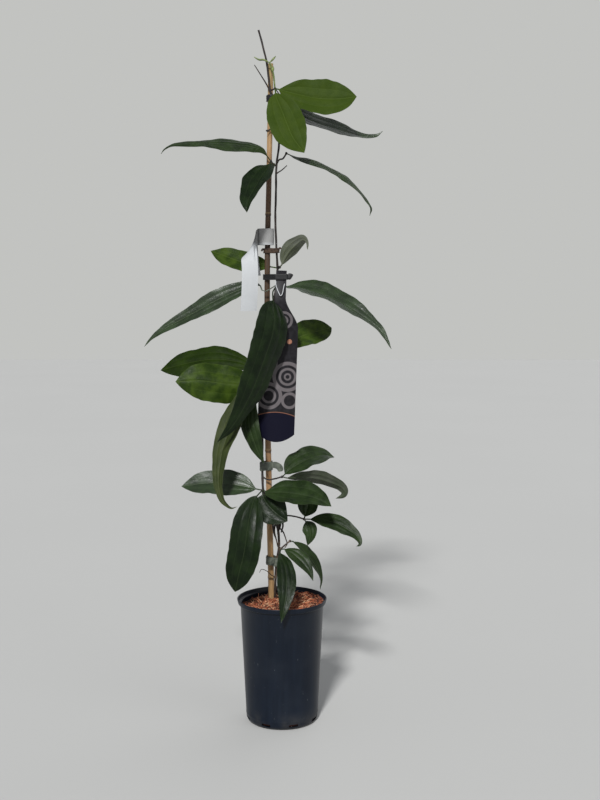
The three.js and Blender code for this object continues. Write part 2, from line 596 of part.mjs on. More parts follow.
// One bark chip, tipped by up to CHIP_TIP degrees each way and half sunk in the surface.
function barkChip(x, y, draw) {
  const chip = new THREE.BoxGeometry(12 + 8 * draw(), 6.5 + 4 * draw(), 2.8 + 1.6 * draw());
  chip.rotateX(THREE.MathUtils.degToRad(CHIP_TIP * (2 * draw() - 1)));
  chip.rotateY(THREE.MathUtils.degToRad(CHIP_TIP * (2 * draw() - 1)));
  chip.rotateZ(2 * Math.PI * draw());
  chip.translate(x, y, soilHeight(x, y) + CHIP_LIFT);
  return toSolid(chip);
}

function growingMedium(caneHole, stemHole) {
  const draw = makeDraw(41);
  const chips = [];
  for (let i = 0; i < CHIP_COUNT; i += 1) {
    const reach = soilEdge * Math.sqrt((i + 0.5) / CHIP_COUNT);
    const angle = i * Math.PI * (3 - Math.sqrt(5)) + 0.5 * draw();
    chips.push(barkChip(reach * Math.cos(angle), reach * Math.sin(angle), draw));
  }
  const mound = joined([soilSolid(soilHeight), ...chips]);
  const insidePot = soilSolid(() => POT_HEIGHT - 2);
  return largestShell(mound.intersect(insidePot).subtract(caneHole).subtract(stemHole));
}

// The bamboo cane, with a low ring at each of its knots.
function caneRadius(along) {
  const foot = CANE_ROUTE[0][2];
  const length = CANE_ROUTE[CANE_ROUTE.length - 1][2] - foot;
  const halfStep = length / CANE_STEPS / 2;
  const atKnot = CANE_KNOT_HEIGHTS.some((level) => Math.abs(level - foot - along * length) < halfStep);
  return THREE.MathUtils.lerp(CANE_FOOT_RADIUS, CANE_TOP_RADIUS, along) + (atKnot ? CANE_KNOT_RISE : 0);
}

// The stem with its leaf stalks and the joints where leaflets part.
const stemRadius = (along) => THREE.MathUtils.lerp(STEM_FOOT_RADIUS, STEM_TOP_RADIUS, along);

function stem(joints) {
  const pieces = [toSolid(tubeAlong(STEM_ROUTE, stemRadius, 6, STEM_STEPS))];
  SIDE_ROUTES.forEach(({ name, route }) => {
    pieces.push(toSolid(tubeAlong(route, () => PETIOLE_RADIUS, 5, route.length)));
    const knuckle = new THREE.SphereGeometry(JOINT_RADIUS, 6, 4);
    knuckle.translate(...joints[name].toArray());
    pieces.push(toSolid(knuckle));
  });
  DRY_ENDS.forEach(({ route, radius }) => {
    pieces.push(toSolid(tubeAlong(route, (along) => radius * (1 - 0.5 * along), 5, route.length + 1)));
  });
  return toGeometry(joined(pieces));
}

// The young shoot at the top, with a bud and two small leaves.
function youngShoot() {
  const stalk = tubeAlong(SHOOT_ROUTE, () => PETIOLE_RADIUS, 6, 6);
  const bud = new THREE.SphereGeometry(SHOOT_BUD_RADIUS, 8, 6);
  bud.scale(1, 1, 2);
  bud.translate(...SHOOT_BUD);
  const swelling = (along) => SHOOT_LEAF_RADIUS * (0.35 + Math.sin(Math.PI * along));
  const leaves = SHOOT_LEAVES.map((route) => tubeAlong(route, swelling, 6, 5));
  return toGeometry(joined([stalk, bud, ...leaves].map(toSolid)));
}

// The outline of a band drawn tight round several circles, as a convex outline.
function outlineRound(circles, clearance) {
  const around = [];
  circles.forEach(([x, y, radius]) => {
    for (let i = 0; i < 12; i += 1) {
      const angle = (2 * Math.PI * i) / 12;
      const reach = radius + clearance;
      around.push([x + reach * Math.cos(angle), y + reach * Math.sin(angle)]);
    }
  });
  around.sort((a, b) => a[0] - b[0] || a[1] - b[1]);
  const turn = (o, a, b) => (a[0] - o[0]) * (b[1] - o[1]) - (a[1] - o[1]) * (b[0] - o[0]);
  const half = (points) => points.reduce((chain, point) => {
    while (chain.length > 1 && turn(chain.at(-2), chain.at(-1), point) <= 1e-6) chain.pop();
    chain.push(point);
    return chain;
  }, []);
  const lower = half(around);
  const upper = half([...around].reverse());
  return [...lower.slice(0, -1), ...upper.slice(0, -1)].map(([x, y]) => new THREE.Vector2(x, y));
}

function band({ circles, low, high, thickness }) {
  const shape = new THREE.Shape(outlineRound(circles, BAND_GAP + thickness));
  shape.holes.push(new THREE.Path(outlineRound(circles, BAND_GAP)));
  const geometry = new THREE.ExtrudeGeometry(shape, { depth: high - low, bevelEnabled: false });
  geometry.translate(0, 0, low);
  return facingOut(positionsOnly(geometry));
}

// The printed picture label: a neck that widens into a plate with a rounded lower edge. The neck
// bends forwards through the strap, and the plate is slightly bowed.
function pictureLabel() {
  const rows = 14;
  const columns = 6;
  const tilt = THREE.MathUtils.degToRad(LABEL_TILT);
  return closedSheet(rows, columns, (row, column) => {
    const share = (2 * column) / columns - 1;
    const full = LABEL_TOP - LABEL_CORNER + LABEL_EDGE_DROP * (1 - share ** 2);
    const drop = full * (row / rows);
    const shoulder = THREE.MathUtils.smoothstep(drop, ...LABEL_SHOULDER);
    const across = (share * THREE.MathUtils.lerp(LABEL_NECK, LABEL_WIDTH, shoulder)) / 2;
    const bend = THREE.MathUtils.smoothstep(drop, 0, LABEL_BEND);
    const bow = LABEL_BOW * (across / (LABEL_WIDTH / 2)) ** 2;
    const point = new THREE.Vector3(
      across * Math.cos(tilt) - drop * Math.sin(tilt),
      THREE.MathUtils.lerp(LABEL_BACK, LABEL_FRONT, bend) + bow,
      LABEL_TOP - drop * Math.cos(tilt) - across * Math.sin(tilt));
    return { point, normal: new THREE.Vector3(0, -1, 0), thickness: LABEL_THICKNESS };
  });
}

// The paper tag: a strip that goes round the cane, with one end hanging down flat towards the front
// and the other end seen edge-on beside it.
function tagEnd(route, across, rowFromLoop) {
  const curve = curveThrough(route);
  const places = [];
  for (let i = 0; i <= TAG_END_ROWS; i += 1) {
    const turned = (Math.min(1, rowFromLoop(i) / TAG_TURN_ROWS) * Math.PI) / 2;
    const width = vector(across).multiplyScalar(Math.sin(turned)).setZ(Math.cos(turned)).normalize();
    places.push({ point: curve.getPointAt(i / TAG_END_ROWS), across: width });
  }
  return places;
}

function paperTag() {
  const [x, y, z] = TAG_LOOP_CENTRE;
  const [reach, depth] = TAG_LOOP_RADII;
  const loop = [];
  for (let i = 0; i <= TAG_LOOP_ROWS; i += 1) {
    const turned = THREE.MathUtils.lerp(TAG_LOOP_START, 2 * Math.PI - TAG_LOOP_START, i / TAG_LOOP_ROWS);
    const point = new THREE.Vector3(x - reach * Math.cos(turned), y + depth * Math.sin(turned), z);
    loop.push({ point, across: new THREE.Vector3(0, 0, 1) });
  }
  const front = tagEnd(TAG_FRONT_END, TAG_FRONT_ACROSS, (row) => TAG_END_ROWS - row);
  const side = tagEnd(TAG_SIDE_END, TAG_SIDE_ACROSS, (row) => row);
  const places = [...front, ...loop, ...side];
  const rows = places.length - 1;
  return closedSheet(rows, 2, (row, column) => {
    const before = places[Math.max(row - 1, 0)].point;
    const after = places[Math.min(row + 1, rows)].point;
    const { point, across } = places[row];
    const normal = after.clone().sub(before).cross(across).normalize();
    const edge = point.clone().addScaledVector(across, ((column - 1) * TAG_WIDTH) / 2);
    return { point: edge, normal, thickness: TAG_THICKNESS };
  });
}

const group = new THREE.Group();

function addPiece(name, geometry, finish) {
  const mesh = new THREE.Mesh(geometry, finish);
  mesh.name = name;
  group.add(mesh);
}

const joints = Object.fromEntries(SIDE_ROUTES.map(({ name, route }) => [name, vector(route.at(-1))]));
const caneHole = toSolid(tubeAlong(CANE_HOLE_ROUTE, () => CANE_FOOT_RADIUS + HOLE_GAP, CANE_SIDES, 6));
const stemHole = toSolid(tubeAlong(STEM_HOLE_ROUTE, () => STEM_FOOT_RADIUS + STEM_HOLE_GAP, 8, 8));

addPiece('pot', pot(), material(0x20282f, 0.5));
addPiece('growing_medium', growingMedium(caneHole, stemHole), material(0x51301f, 0.95));
addPiece('cane', tubeAlong(CANE_ROUTE, caneRadius, CANE_SIDES, CANE_STEPS), material(0x8f7048, 0.6));
addPiece('stem', stem(joints), material(0x2a211c, 0.7));
addPiece('young_shoot', youngShoot(), material(0x6a7a3a, 0.6));
LEAFLETS.forEach((spec) => addPiece(spec.name, leaflet(spec, joints), material(0x2f4a28, 0.4)));
BANDS.forEach((spec) => addPiece(spec.name, band(spec), material(spec.color, spec.roughness)));
addPiece('picture_label', pictureLabel(), material(0x26262c, 0.4));
addPiece('paper_tag', paperTag(), material(0xd2d4d6, 0.8));

export default group;
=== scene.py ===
# %% [markdown]
# # A potted armand clematis
# An evergreen climber in a nursery pot is a pot, bark mulch, a bamboo cane, a woody stem tied to
# it, and twenty-eight leathery leaflets. The frame holds each piece as a plain solid at its real
# size. This lesson loads that frame and dresses every piece with a finer mesh and a finish of its
# own. Each mesh repeats the sizes of the solid that it stands for, so nothing is fitted by eye.

# %% Load the frame
from collections import namedtuple
from math import cos, pi, radians, sin, sqrt

import bpy
import numpy as np
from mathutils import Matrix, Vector


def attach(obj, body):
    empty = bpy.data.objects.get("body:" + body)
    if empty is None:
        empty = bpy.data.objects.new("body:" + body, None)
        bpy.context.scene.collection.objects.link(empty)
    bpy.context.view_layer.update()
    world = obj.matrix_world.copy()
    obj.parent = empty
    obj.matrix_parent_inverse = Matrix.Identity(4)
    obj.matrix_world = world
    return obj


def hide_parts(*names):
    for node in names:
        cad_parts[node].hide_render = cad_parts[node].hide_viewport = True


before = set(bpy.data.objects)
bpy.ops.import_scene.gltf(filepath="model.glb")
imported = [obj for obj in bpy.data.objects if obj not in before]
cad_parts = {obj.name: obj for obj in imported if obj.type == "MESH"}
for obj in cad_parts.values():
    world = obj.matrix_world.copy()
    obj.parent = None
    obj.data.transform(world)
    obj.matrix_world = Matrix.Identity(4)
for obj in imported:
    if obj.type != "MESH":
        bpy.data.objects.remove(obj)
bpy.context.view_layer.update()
print("nodes in the frame:", len(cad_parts))

# %% [markdown]
# ## Meshes from numbers
# A leaf, a cane and a tie are all grids of points: rows along the piece and columns across it.
# Writing the points with numpy and joining them in quads gives full control of the form, where a
# subdivided cage would round the tips away. All sizes are in millimetres until a mesh is made.

# %% Make a piece from points and faces
MM = 0.001
CRISP_ANGLE = radians(40)


def new_mesh(name, points, faces):
    """A mesh from points in millimetres."""
    mesh = bpy.data.meshes.new(name)
    mesh.from_pydata((np.asarray(points) * MM).tolist(), [], faces)
    return mesh


def add_object(name, data):
    """Puts a mesh, a lamp or a camera into the scene."""
    thing = bpy.data.objects.new(name, data)
    bpy.context.scene.collection.objects.link(thing)
    return thing


def smooth(mesh):
    """Smooth shading, but crisp along edges that turn by more than CRISP_ANGLE."""
    mesh.shade_smooth()
    mesh.set_sharp_from_angle(angle=CRISP_ANGLE)


def make_piece(name, points, faces, finish, nodes=(), attributes=None):
    """A mesh that rides on the plant, stands for the named nodes and takes one finish."""
    mesh = new_mesh(name, points, faces)
    for label, values in (attributes or {}).items():
        layer = mesh.attributes.new(label, "FLOAT_VECTOR", "POINT")
        layer.data.foreach_set("vector", np.asarray(values, np.float32).ravel())
    mesh.materials.append(finish)
    smooth(mesh)
    thing = add_object(name, mesh)
    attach(thing, "root")
    if nodes:
        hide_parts(*nodes)
    print(f"{name}: {len(points)} points, {len(faces)} faces")
    return thing


# %% [markdown]
# ## Piles and grids
# Mulch and a stem are many small closed shapes in one mesh. A pile gathers them, and counts the
# points so that the faces of each shape keep pointing at its own. Most shapes start as a grid.

# %% Gather shapes in one mesh
class Pile:
    """Points and faces of several closed shapes that end up in one mesh."""

    def __init__(self):
        self.points = []
        self.faces = []
        self.notes = []
        self.count = 0

    def put(self, points, faces, notes=None):
        points = np.asarray(points, float).reshape(-1, 3)
        self.points.append(points)
        self.faces += [[self.count + i for i in face] for face in faces]
        self.notes.append(np.zeros_like(points) if notes is None else np.reshape(notes, (-1, 3)))
        self.count += len(points)

    def all_points(self):
        return np.vstack(self.points)

    def all_notes(self):
        return np.vstack(self.notes)


def grid_faces(rows, columns, wrap=False):
    """Quads over a grid of rows by columns points. wrap joins the last column to the first."""
    faces = []
    for row in range(rows - 1):
        for column in range(columns if wrap else columns - 1):
            a = row * columns + column
            b = row * columns + (column + 1) % columns
            faces.append([a, b, b + columns, a + columns])
    return faces


def ring_faces(rings, sides):
    """Faces of a stack of rings. The two points after them close its start and its end."""
    faces = grid_faces(rings, sides, wrap=True)
    start = rings * sides
    last = start - sides
    for i in range(sides):
        after = (i + 1) % sides
        faces.append([start, after, i])
        faces.append([start + 1, last + i, last + after])
    return faces


# %% [markdown]
# ## Smooth routes
# The cane, the stem and every leaf rib follow a route of a few points. A Catmull-Rom curve passes
# through each of them, which a NURBS curve would not, so the fine pieces stay on the solids. The
# curve is kept as many short steps, so that a place on it can be read off at any distance.

# %% Routes
CURVE_STEPS = 48
LOOK_AHEAD = 0.4


def dense_route(places):
    """A Catmull-Rom curve through the places, as many points and their distances along it."""
    p = np.array(places, float)
    p = np.vstack([2 * p[0] - p[1], p, 2 * p[-1] - p[-2]])
    t = np.linspace(0, 1, CURVE_STEPS, endpoint=False)[:, None]
    pieces = []
    for before, start, end, after in zip(p, p[1:], p[2:], p[3:]):
        leave = (end - before) / 2
        arrive = (after - start) / 2
        cubic = 2 * start - 2 * end + leave + arrive
        square = -3 * start + 3 * end - 2 * leave - arrive
        pieces.append(start + leave * t + square * t**2 + cubic * t**3)
    points = np.vstack([*pieces, p[-2:-1]])
    steps = np.linalg.norm(np.diff(points, axis=0), axis=1)
    return points, np.concatenate([[0], np.cumsum(steps)])


def unit(vectors):
    return vectors / np.linalg.norm(vectors, axis=-1, keepdims=True)


def along_route(places, distances):
    """Points and directions at the given distances along the route."""
    points, lengths = dense_route(places)

    def read(at):
        return np.stack([np.interp(at, lengths, points[:, axis]) for axis in range(3)], axis=1)

    ahead = read(np.minimum(distances + LOOK_AHEAD, lengths[-1]))
    behind = read(np.maximum(distances - LOOK_AHEAD, 0))
    return read(distances), unit(ahead - behind)


def carried_along(directions, normal):
    """The normal turned as little as possible from one row to the next."""
    normals = []
    for direction in directions:
        normal = normal - direction * np.dot(normal, direction)
        normal = normal / np.linalg.norm(normal)
        normals.append(normal)
    return np.array(normals)


corner = [(0, 0, 0), (10, 0, 0), (10, 10, 0)]
print("a route round a 10 mm corner is", round(dense_route(corner)[1][-1], 1), "mm long")

# %% [markdown]
# ## Tubes and turned shapes
# A curve with a bevel would make a tube too, but only a round one. Here a function gives the radius
# at each place, so the cane gets its knots and the stem its lumps. A turned shape, such as the pot,
# is one outline spun round the upright axis.

# %% Tubes and turned shapes
def tube(places, radius_at, sides, step):
    """A closed tube round a route. radius_at(distance, angle) may vary over the surface."""
    _, lengths = dense_route(places)
    rows = max(3, int(lengths[-1] / step) + 1)
    distances = np.linspace(0, lengths[-1], rows)
    middles, directions = along_route(places, distances)
    off_route = (0.3, 0.9, 0.1)
    first = np.cross(directions[0], off_route)
    normals = carried_along(directions, first / np.linalg.norm(first))
    sideways = np.cross(directions, normals)
    angles = np.linspace(0, 2 * pi, sides, endpoint=False)
    radii = radius_at(distances[:, None], angles[None, :]) * np.ones((rows, sides))
    cosines = np.cos(angles)[None, :, None]
    sines = np.sin(angles)[None, :, None]
    ring = normals[:, None] * cosines + sideways[:, None] * sines
    points = (middles[:, None] + ring * radii[..., None]).reshape(-1, 3)
    return np.vstack([points, middles[0], middles[-1]]), ring_faces(rows, sides)


def lathe(profile, sides):
    """A closed turned shape. The profile is (radius, height) pairs and starts and ends on the axis."""
    profile = np.array(profile, float)
    inner = profile[1:-1]
    angles = np.linspace(0, 2 * pi, sides, endpoint=False)
    rings = np.stack([
        inner[:, :1] * np.cos(angles),
        inner[:, :1] * np.sin(angles),
        np.repeat(inner[:, 1:], sides, axis=1),
    ], axis=-1).reshape(-1, 3)
    points = np.vstack([rings, [0, 0, profile[0, 1]], [0, 0, profile[-1, 1]]])
    return points, ring_faces(len(inner), sides)


print("a stack of 8 rings of 6 points has", len(ring_faces(8, 6)), "faces")

# %% [markdown]
# ## Shader maths
# A finish is a set of nodes, and node trees soon grow hard to read. The class Shade wraps one
# socket and lets Python's own operators add the Math nodes, so a mask reads like a formula. Finish
# holds the material. Its method add makes any other node: first the settings, then the sockets.

# %% One socket
class Shade:
    """One output socket. Arithmetic on it adds Math nodes."""

    def __init__(self, finish, socket):
        self.finish = finish
        self.socket = socket

    def math(self, operation, *values):
        sockets = dict(enumerate(values))
        return self.finish.add("ShaderNodeMath", {"operation": operation}, sockets)

    def __add__(self, other):
        return self.math("ADD", self, other)

    def __radd__(self, other):
        return self.math("ADD", other, self)

    def __sub__(self, other):
        return self.math("SUBTRACT", self, other)

    def __rsub__(self, other):
        return self.math("SUBTRACT", other, self)

    def __mul__(self, other):
        return self.math("MULTIPLY", self, other)

    def __rmul__(self, other):
        return self.math("MULTIPLY", other, self)

    def __abs__(self):
        return self.math("ABSOLUTE", self)

    def most(self, other):
        return self.math("MAXIMUM", self, other)

    def root(self):
        return self.math("SQRT", self)

    def over(self, low, high):
        """0 below low, 1 above high and a soft step between them."""
        sockets = {0: self, 1: low, 2: high}
        return self.finish.add("ShaderNodeMapRange", {"interpolation_type": "SMOOTHSTEP"}, sockets)


# %% One finish
class Finish:
    """A material or a sky, and the nodes that colour it."""

    def __init__(self, name, kind=bpy.data.materials, shader="Principled BSDF"):
        self.owner = kind.new(name)
        self.owner.use_nodes = True
        self.tree = self.owner.node_tree
        self.shader = self.tree.nodes[shader]

    def feed(self, node, sockets):
        for key, value in sockets.items():
            socket = node.inputs[key]
            if isinstance(value, Shade):
                self.tree.links.new(value.socket, socket)
            elif socket.type == "RGBA":
                socket.default_value = (*value, 1)
            else:
                socket.default_value = value

    def add(self, kind, settings, sockets, output=0):
        node = self.tree.nodes.new(kind)
        for key, value in settings.items():
            if key == "stops":
                elements = node.color_ramp.elements
                while len(elements) < len(value):
                    elements.new(1)
                for element, (position, color) in zip(elements, value):
                    element.position = position
                    element.color = (*color, 1)
            else:
                setattr(node, key, value)
        self.feed(node, sockets)
        return Shade(self, node.outputs[output])

    def place(self):
        """The point on the plant, in metres."""
        return self.add("ShaderNodeTexCoord", {}, {}, "Object")

    def note(self, label):
        """The three numbers that a mesh carries under a name: as a vector and one by one."""
        vector = self.add("ShaderNodeAttribute", {"attribute_name": label}, {}, "Vector")
        return vector, self.parts(vector)

    def parts(self, vector):
        split = self.add("ShaderNodeSeparateXYZ", {}, {0: vector})
        return [Shade(self, output) for output in split.socket.node.outputs]

    def stretch(self, vector, amounts):
        return self.add("ShaderNodeVectorMath", {"operation": "MULTIPLY"}, {0: vector, 1: amounts})

    def noise(self, vector, scale, detail=3.0, roughness=0.55):
        sockets = {"Vector": vector, "Scale": scale, "Detail": detail, "Roughness": roughness}
        return self.add("ShaderNodeTexNoise", {}, sockets)

    def cells(self, vector, scale):
        """Distance to the nearest border of a net of cells."""
        settings = {"feature": "DISTANCE_TO_EDGE"}
        return self.add("ShaderNodeTexVoronoi", settings, {"Vector": vector, "Scale": scale})

    def ramp(self, value, stops):
        return self.add("ShaderNodeValToRGB", {"stops": stops}, {0: value})

    def mix(self, share, color, other):
        sockets = {0: share, 6: color, 7: other}
        return self.add("ShaderNodeMix", {"data_type": "RGBA"}, sockets, 2)

    def bump(self, height, distance_mm, strength=1.0):
        sockets = {"Height": height, "Distance": distance_mm * MM, "Strength": strength}
        return self.add("ShaderNodeBump", {}, sockets)

    def done(self, sockets):
        self.feed(self.shader, sockets)
        print("finish:", self.owner.name, len(self.tree.nodes), "nodes")
        return self.owner


# %% [markdown]
# ## Pot plastic
# The pot is moulded in dark blue-grey plastic. New plastic would be even, but a pot from a nursery
# has faint streaks down its wall, a film of dust at the foot and a few small scuffs. Noise that is
# stretched upwards gives the streaks, and height gives the dust.

# %% Finish: pot plastic
def pot_finish():
    finish = Finish("pot_plastic")
    place = finish.place()
    height = finish.parts(place)[2]
    streaks = finish.noise(finish.stretch(place, (1, 1, 0.08)), 130)
    patches = finish.noise(place, 22, detail=5)
    dust = (1 - height.over(0.0, 0.03)) * patches.over(0.42, 0.66)
    scuffs = finish.noise(finish.stretch(place, (1, 1, 0.5)), 320, detail=2).over(0.71, 0.76)
    tone = finish.mix(streaks.over(0.35, 0.7), (0.0022, 0.0055, 0.0125), (0.0038, 0.0080, 0.0165))
    tone = finish.mix(patches.over(0.45, 0.7) * 0.5, tone, (0.008, 0.012, 0.020))
    tone = finish.mix(dust * 0.4, tone, (0.075, 0.070, 0.062))
    tone = finish.mix(scuffs * 0.35, tone, (0.13, 0.14, 0.15))
    roughness = 0.30 + patches * 0.12 + dust * 0.2
    grain = finish.noise(place, 900, detail=2) * 0.4 + streaks
    return finish.done({
        "Base Color": tone,
        "Roughness": roughness,
        "Specular IOR Level": 0.25,
        "Normal": finish.bump(grain, 0.12, 0.35),
    })


POT_PLASTIC = pot_finish()

# %% [markdown]
# ## Bark
# Shredded conifer bark is red-brown where it is fresh, nearly black where it is damp and straw
# pale along torn fibres. Each chip carries a number of its own, which picks its shade from a ramp,
# and fibres run along the chip because the noise is stretched in the chip's own length.

# %% Finish: bark
def bark_finish():
    finish = Finish("bark_mulch")
    grain_place, (_, _, shade) = finish.note("chip_place")
    fibres = finish.noise(finish.stretch(grain_place, (0.25, 1.6, 1.0)), 1.4, detail=4)
    damp = finish.noise(finish.place(), 45, detail=3)
    stops = [
        (0.0, (0.012, 0.005, 0.004)),
        (0.18, (0.080, 0.018, 0.008)),
        (0.45, (0.270, 0.058, 0.023)),
        (0.75, (0.450, 0.145, 0.062)),
        (1.0, (0.820, 0.580, 0.360)),
    ]
    pick = shade * 0.85 + (fibres - 0.5) * 0.5 + (damp - 0.5) * 0.35
    return finish.done({
        "Base Color": finish.ramp(pick, stops),
        "Roughness": 0.9 - fibres * 0.15,
        "Normal": finish.bump(fibres, 0.5, 0.8),
    })


BARK = bark_finish()

# %% [markdown]
# ## Bamboo
# The cane's skin is straw coloured and a little waxy, with fine lines along it and grey or brown
# weathering in long patches. It is dark just under each knot, and paler in a ring above it. A ramp
# of height, in metres, gives the broad tone. Partly this is the cane's own tone, which changes along
# its length. Partly it is painted shade: the cane is nearly black from about 0.5 to 0.8 m, where the
# label, the tag and the leaves shade it.

# %% Finish: bamboo
CANE_KNOTS = [203, 392, 565, 732, 868]


def bamboo_finish():
    finish = Finish("bamboo")
    place = finish.place()
    height = finish.parts(place)[2]
    lines = finish.noise(finish.stretch(place, (1, 1, 0.02)), 900, detail=3)
    patches = finish.noise(finish.stretch(place, (1, 1, 0.15)), 90, detail=4)
    # painted shade: the stops from 0.47 to 0.785 m darken the cane where the label, the tag and the leaves
    # shade it
    tone_at_height = [
        (0.17, (0.52, 0.33, 0.15)),
        (0.30, (0.44, 0.25, 0.11)),
        (0.47, (0.20, 0.115, 0.065)),
        (0.56, (0.060, 0.034, 0.018)),
        (0.69, (0.050, 0.029, 0.017)),
        (0.785, (0.135, 0.072, 0.040)),
        (0.825, (0.50, 0.31, 0.15)),
        (0.90, (0.42, 0.28, 0.12)),
        (0.94, (0.33, 0.25, 0.10)),
    ]
    weathering_and_painted_shade = finish.ramp(height, tone_at_height)
    tone = finish.mix(lines.over(0.4, 0.62) * 0.45, weathering_and_painted_shade, (0.16, 0.085, 0.035))
    tone = finish.mix(patches.over(0.56, 0.72) * 0.5, tone, (0.085, 0.045, 0.022))
    for knot in CANE_KNOTS:
        below = 1 - abs(height - (knot - 2.2) * MM).over(0.0005, 0.0028)
        above = 1 - abs(height - (knot + 1.8) * MM).over(0.0004, 0.0014)
        tone = finish.mix(below * 0.7, tone, (0.035, 0.018, 0.009))
        tone = finish.mix(above * 0.5, tone, (0.50, 0.36, 0.19))
    return finish.done({
        "Base Color": tone,
        "Roughness": 0.36 + patches * 0.3,
        "Normal": finish.bump(lines + patches, 0.15, 0.5),
    })


BAMBOO = bamboo_finish()

# %% [markdown]
# ## Stem bark and new growth
# A clematis stem is thin, dark and purplish, and its lower stretch peels in grey-brown strings.
# The young shoot is soft and green. Both are matt, so one function makes both: two shades, and the
# height under which the bark peels.

# %% Finishes: stem and young shoot
def stem_finish(name, dark, light, peeling, peel_height, roughness):
    finish = Finish(name)
    place = finish.place()
    height = finish.parts(place)[2]
    strings = finish.noise(finish.stretch(place, (1, 1, 0.12)), 620, detail=4)
    spots = finish.noise(place, 240, detail=3)
    tone = finish.mix(spots.over(0.4, 0.66), dark, light)
    peeled = (1 - height.over(peel_height - 0.12, peel_height)) * strings.over(0.47, 0.6)
    tone = finish.mix(peeled * 0.8, tone, peeling)
    return finish.done({
        "Base Color": tone,
        "Roughness": roughness + strings * 0.2,
        "Normal": finish.bump(strings * 1.5 + spots, 0.25, 0.7),
    })


STEM_BARK = stem_finish(
    "stem_bark", (0.010, 0.007, 0.006), (0.030, 0.019, 0.014), (0.13, 0.085, 0.055), 0.36, 0.5)
YOUNG_SHOOT = stem_finish(
    "young_shoot", (0.10, 0.14, 0.035), (0.20, 0.25, 0.075), (0.20, 0.25, 0.075), 0.0, 0.42)

# %% [markdown]
# ## Leaf
# An armand clematis leaflet is leathery. Its upper side is glossy, with a midrib and a vein along
# each half that stay beside the edge from base to tip, and a fine net between them. The underside
# is dull and grey-green, with raised veins. The mesh notes how far each point is across and along
# the blade, in shares and in millimetres, so that the veins follow the blade however it bends.
#
# Leaves of one plant differ. The youngest are yellow-green and matt, the oldest nearly black, and
# those that face the sky have a waxy shine. The deep finish is painted shade: the dark one at about
# half its brightness, for hanging leaves in the shade of others. One function makes them all from a
# row of shades.

# %% Finish: leaf
SIDE_VEIN = 0.5


def leaf_finish(name, deep, fresh, vein, under, gloss, specular):
    finish = Finish(name)
    _, (across, along, upper) = finish.note("leaf_share")
    place, (x, distance, half) = finish.note("leaf_mm")
    reach = abs(across)
    from_midrib = abs(x)
    from_side_vein = abs(reach - SIDE_VEIN) * half
    midrib = 1 - from_midrib.over(0.25, 0.9)
    side_vein = (1 - from_side_vein.over(0.15, 0.6)) * (1 - along.over(0.75, 0.95))
    sockets = {0: x * 0.55, 1: distance + from_midrib * 0.9}
    slanted = finish.add("ShaderNodeCombineXYZ", {}, sockets)
    net = finish.cells(finish.stretch(slanted, (1, 1.5, 1)), 0.42)
    net_line = 1 - net.over(0.02, 0.12)
    cloud = finish.noise(place, 0.055, detail=4)
    mottle = finish.noise(place, 0.5, detail=3)
    top = finish.mix(cloud.over(0.35, 0.68), deep, fresh)
    top = finish.mix(mottle.over(0.5, 0.75) * 0.25, top, deep)
    top = finish.mix(net_line * 0.12, top, vein)
    top = finish.mix((midrib * 0.55).most(side_vein * 0.3), top, vein)
    rim = reach.over(0.93, 1.0)
    top = finish.mix(rim * 0.35, top, vein)
    below = finish.mix(cloud.over(0.35, 0.7) * 0.5, under, fresh)
    below = finish.mix(midrib.most(side_vein) * 0.5 + net_line * 0.15, below, vein)
    upwards = upper.over(0.4, 0.6)
    dull = 0.58 + mottle * 0.1
    shine = gloss + mottle * 0.12 + cloud * 0.08
    relief = 1 - net_line * 0.5 + mottle * 0.35
    return finish.done({
        "Base Color": finish.mix(upwards, below, top),
        "Roughness": upwards * shine + (1 - upwards) * dull,
        "Specular IOR Level": specular,
        "Normal": finish.bump(relief, 0.22, 0.6),
    })


# %% The leaf shades
LeafShade = namedtuple("LeafShade", "deep fresh vein under gloss specular")
PALE_UNDER = (0.155, 0.165, 0.135)
DULL_UNDER = (0.075, 0.083, 0.062)
LEAF_SHADES = {
    "young": LeafShade(
        (0.030, 0.053, 0.006), (0.038, 0.063, 0.007), (0.058, 0.090, 0.016), PALE_UNDER, 0.42, 0.05),
    "bright": LeafShade(
        (0.014, 0.030, 0.003), (0.044, 0.076, 0.007), (0.060, 0.090, 0.018), DULL_UNDER, 0.32, 0.12),
    "olive": LeafShade(
        (0.024, 0.035, 0.009), (0.042, 0.055, 0.016), (0.085, 0.098, 0.042), PALE_UNDER, 0.34, 0.12),
    "waxy": LeafShade(
        (0.008, 0.018, 0.004), (0.018, 0.038, 0.009), (0.045, 0.070, 0.026), DULL_UNDER, 0.26, 0.7),
    "dark": LeafShade(
        (0.007, 0.016, 0.003), (0.018, 0.035, 0.008), (0.038, 0.058, 0.023), DULL_UNDER, 0.30, 0.18),
    # painted shade: the deep finish is the dark one at about half its brightness, for hanging leaves in the
    # shade of others
    "deep": LeafShade(
        (0.003, 0.008, 0.002), (0.008, 0.018, 0.004), (0.024, 0.037, 0.014), DULL_UNDER, 0.24, 0.16),
    "shaded": LeafShade(
        (0.009, 0.019, 0.002), (0.017, 0.034, 0.003), (0.032, 0.050, 0.010), DULL_UNDER, 0.36, 0.05),
}
LEAF_FINISHES = {name: leaf_finish("leaf_" + name, *shade) for name, shade in LEAF_SHADES.items()}

# %% [markdown]
# ## Ties
# The ties are small bands: black plastic strip, a paper-covered wire gone brown, and soft grey-green
# tape. They differ in colour, roughness and the size of their grain, so one function makes all three
# finishes, with creases that run round the band.

# %% Finishes: ties
def band_finish(name, dark, light, roughness, scale):
    finish = Finish(name)
    place = finish.place()
    cloud = finish.noise(place, scale, detail=4)
    creases = finish.noise(finish.stretch(place, (1, 1, 3)), scale * 3, detail=3)
    return finish.done({
        "Base Color": finish.mix(cloud.over(0.35, 0.7), dark, light),
        "Roughness": roughness + creases * 0.2,
        "Normal": finish.bump(creases, 0.3, 0.7),
    })


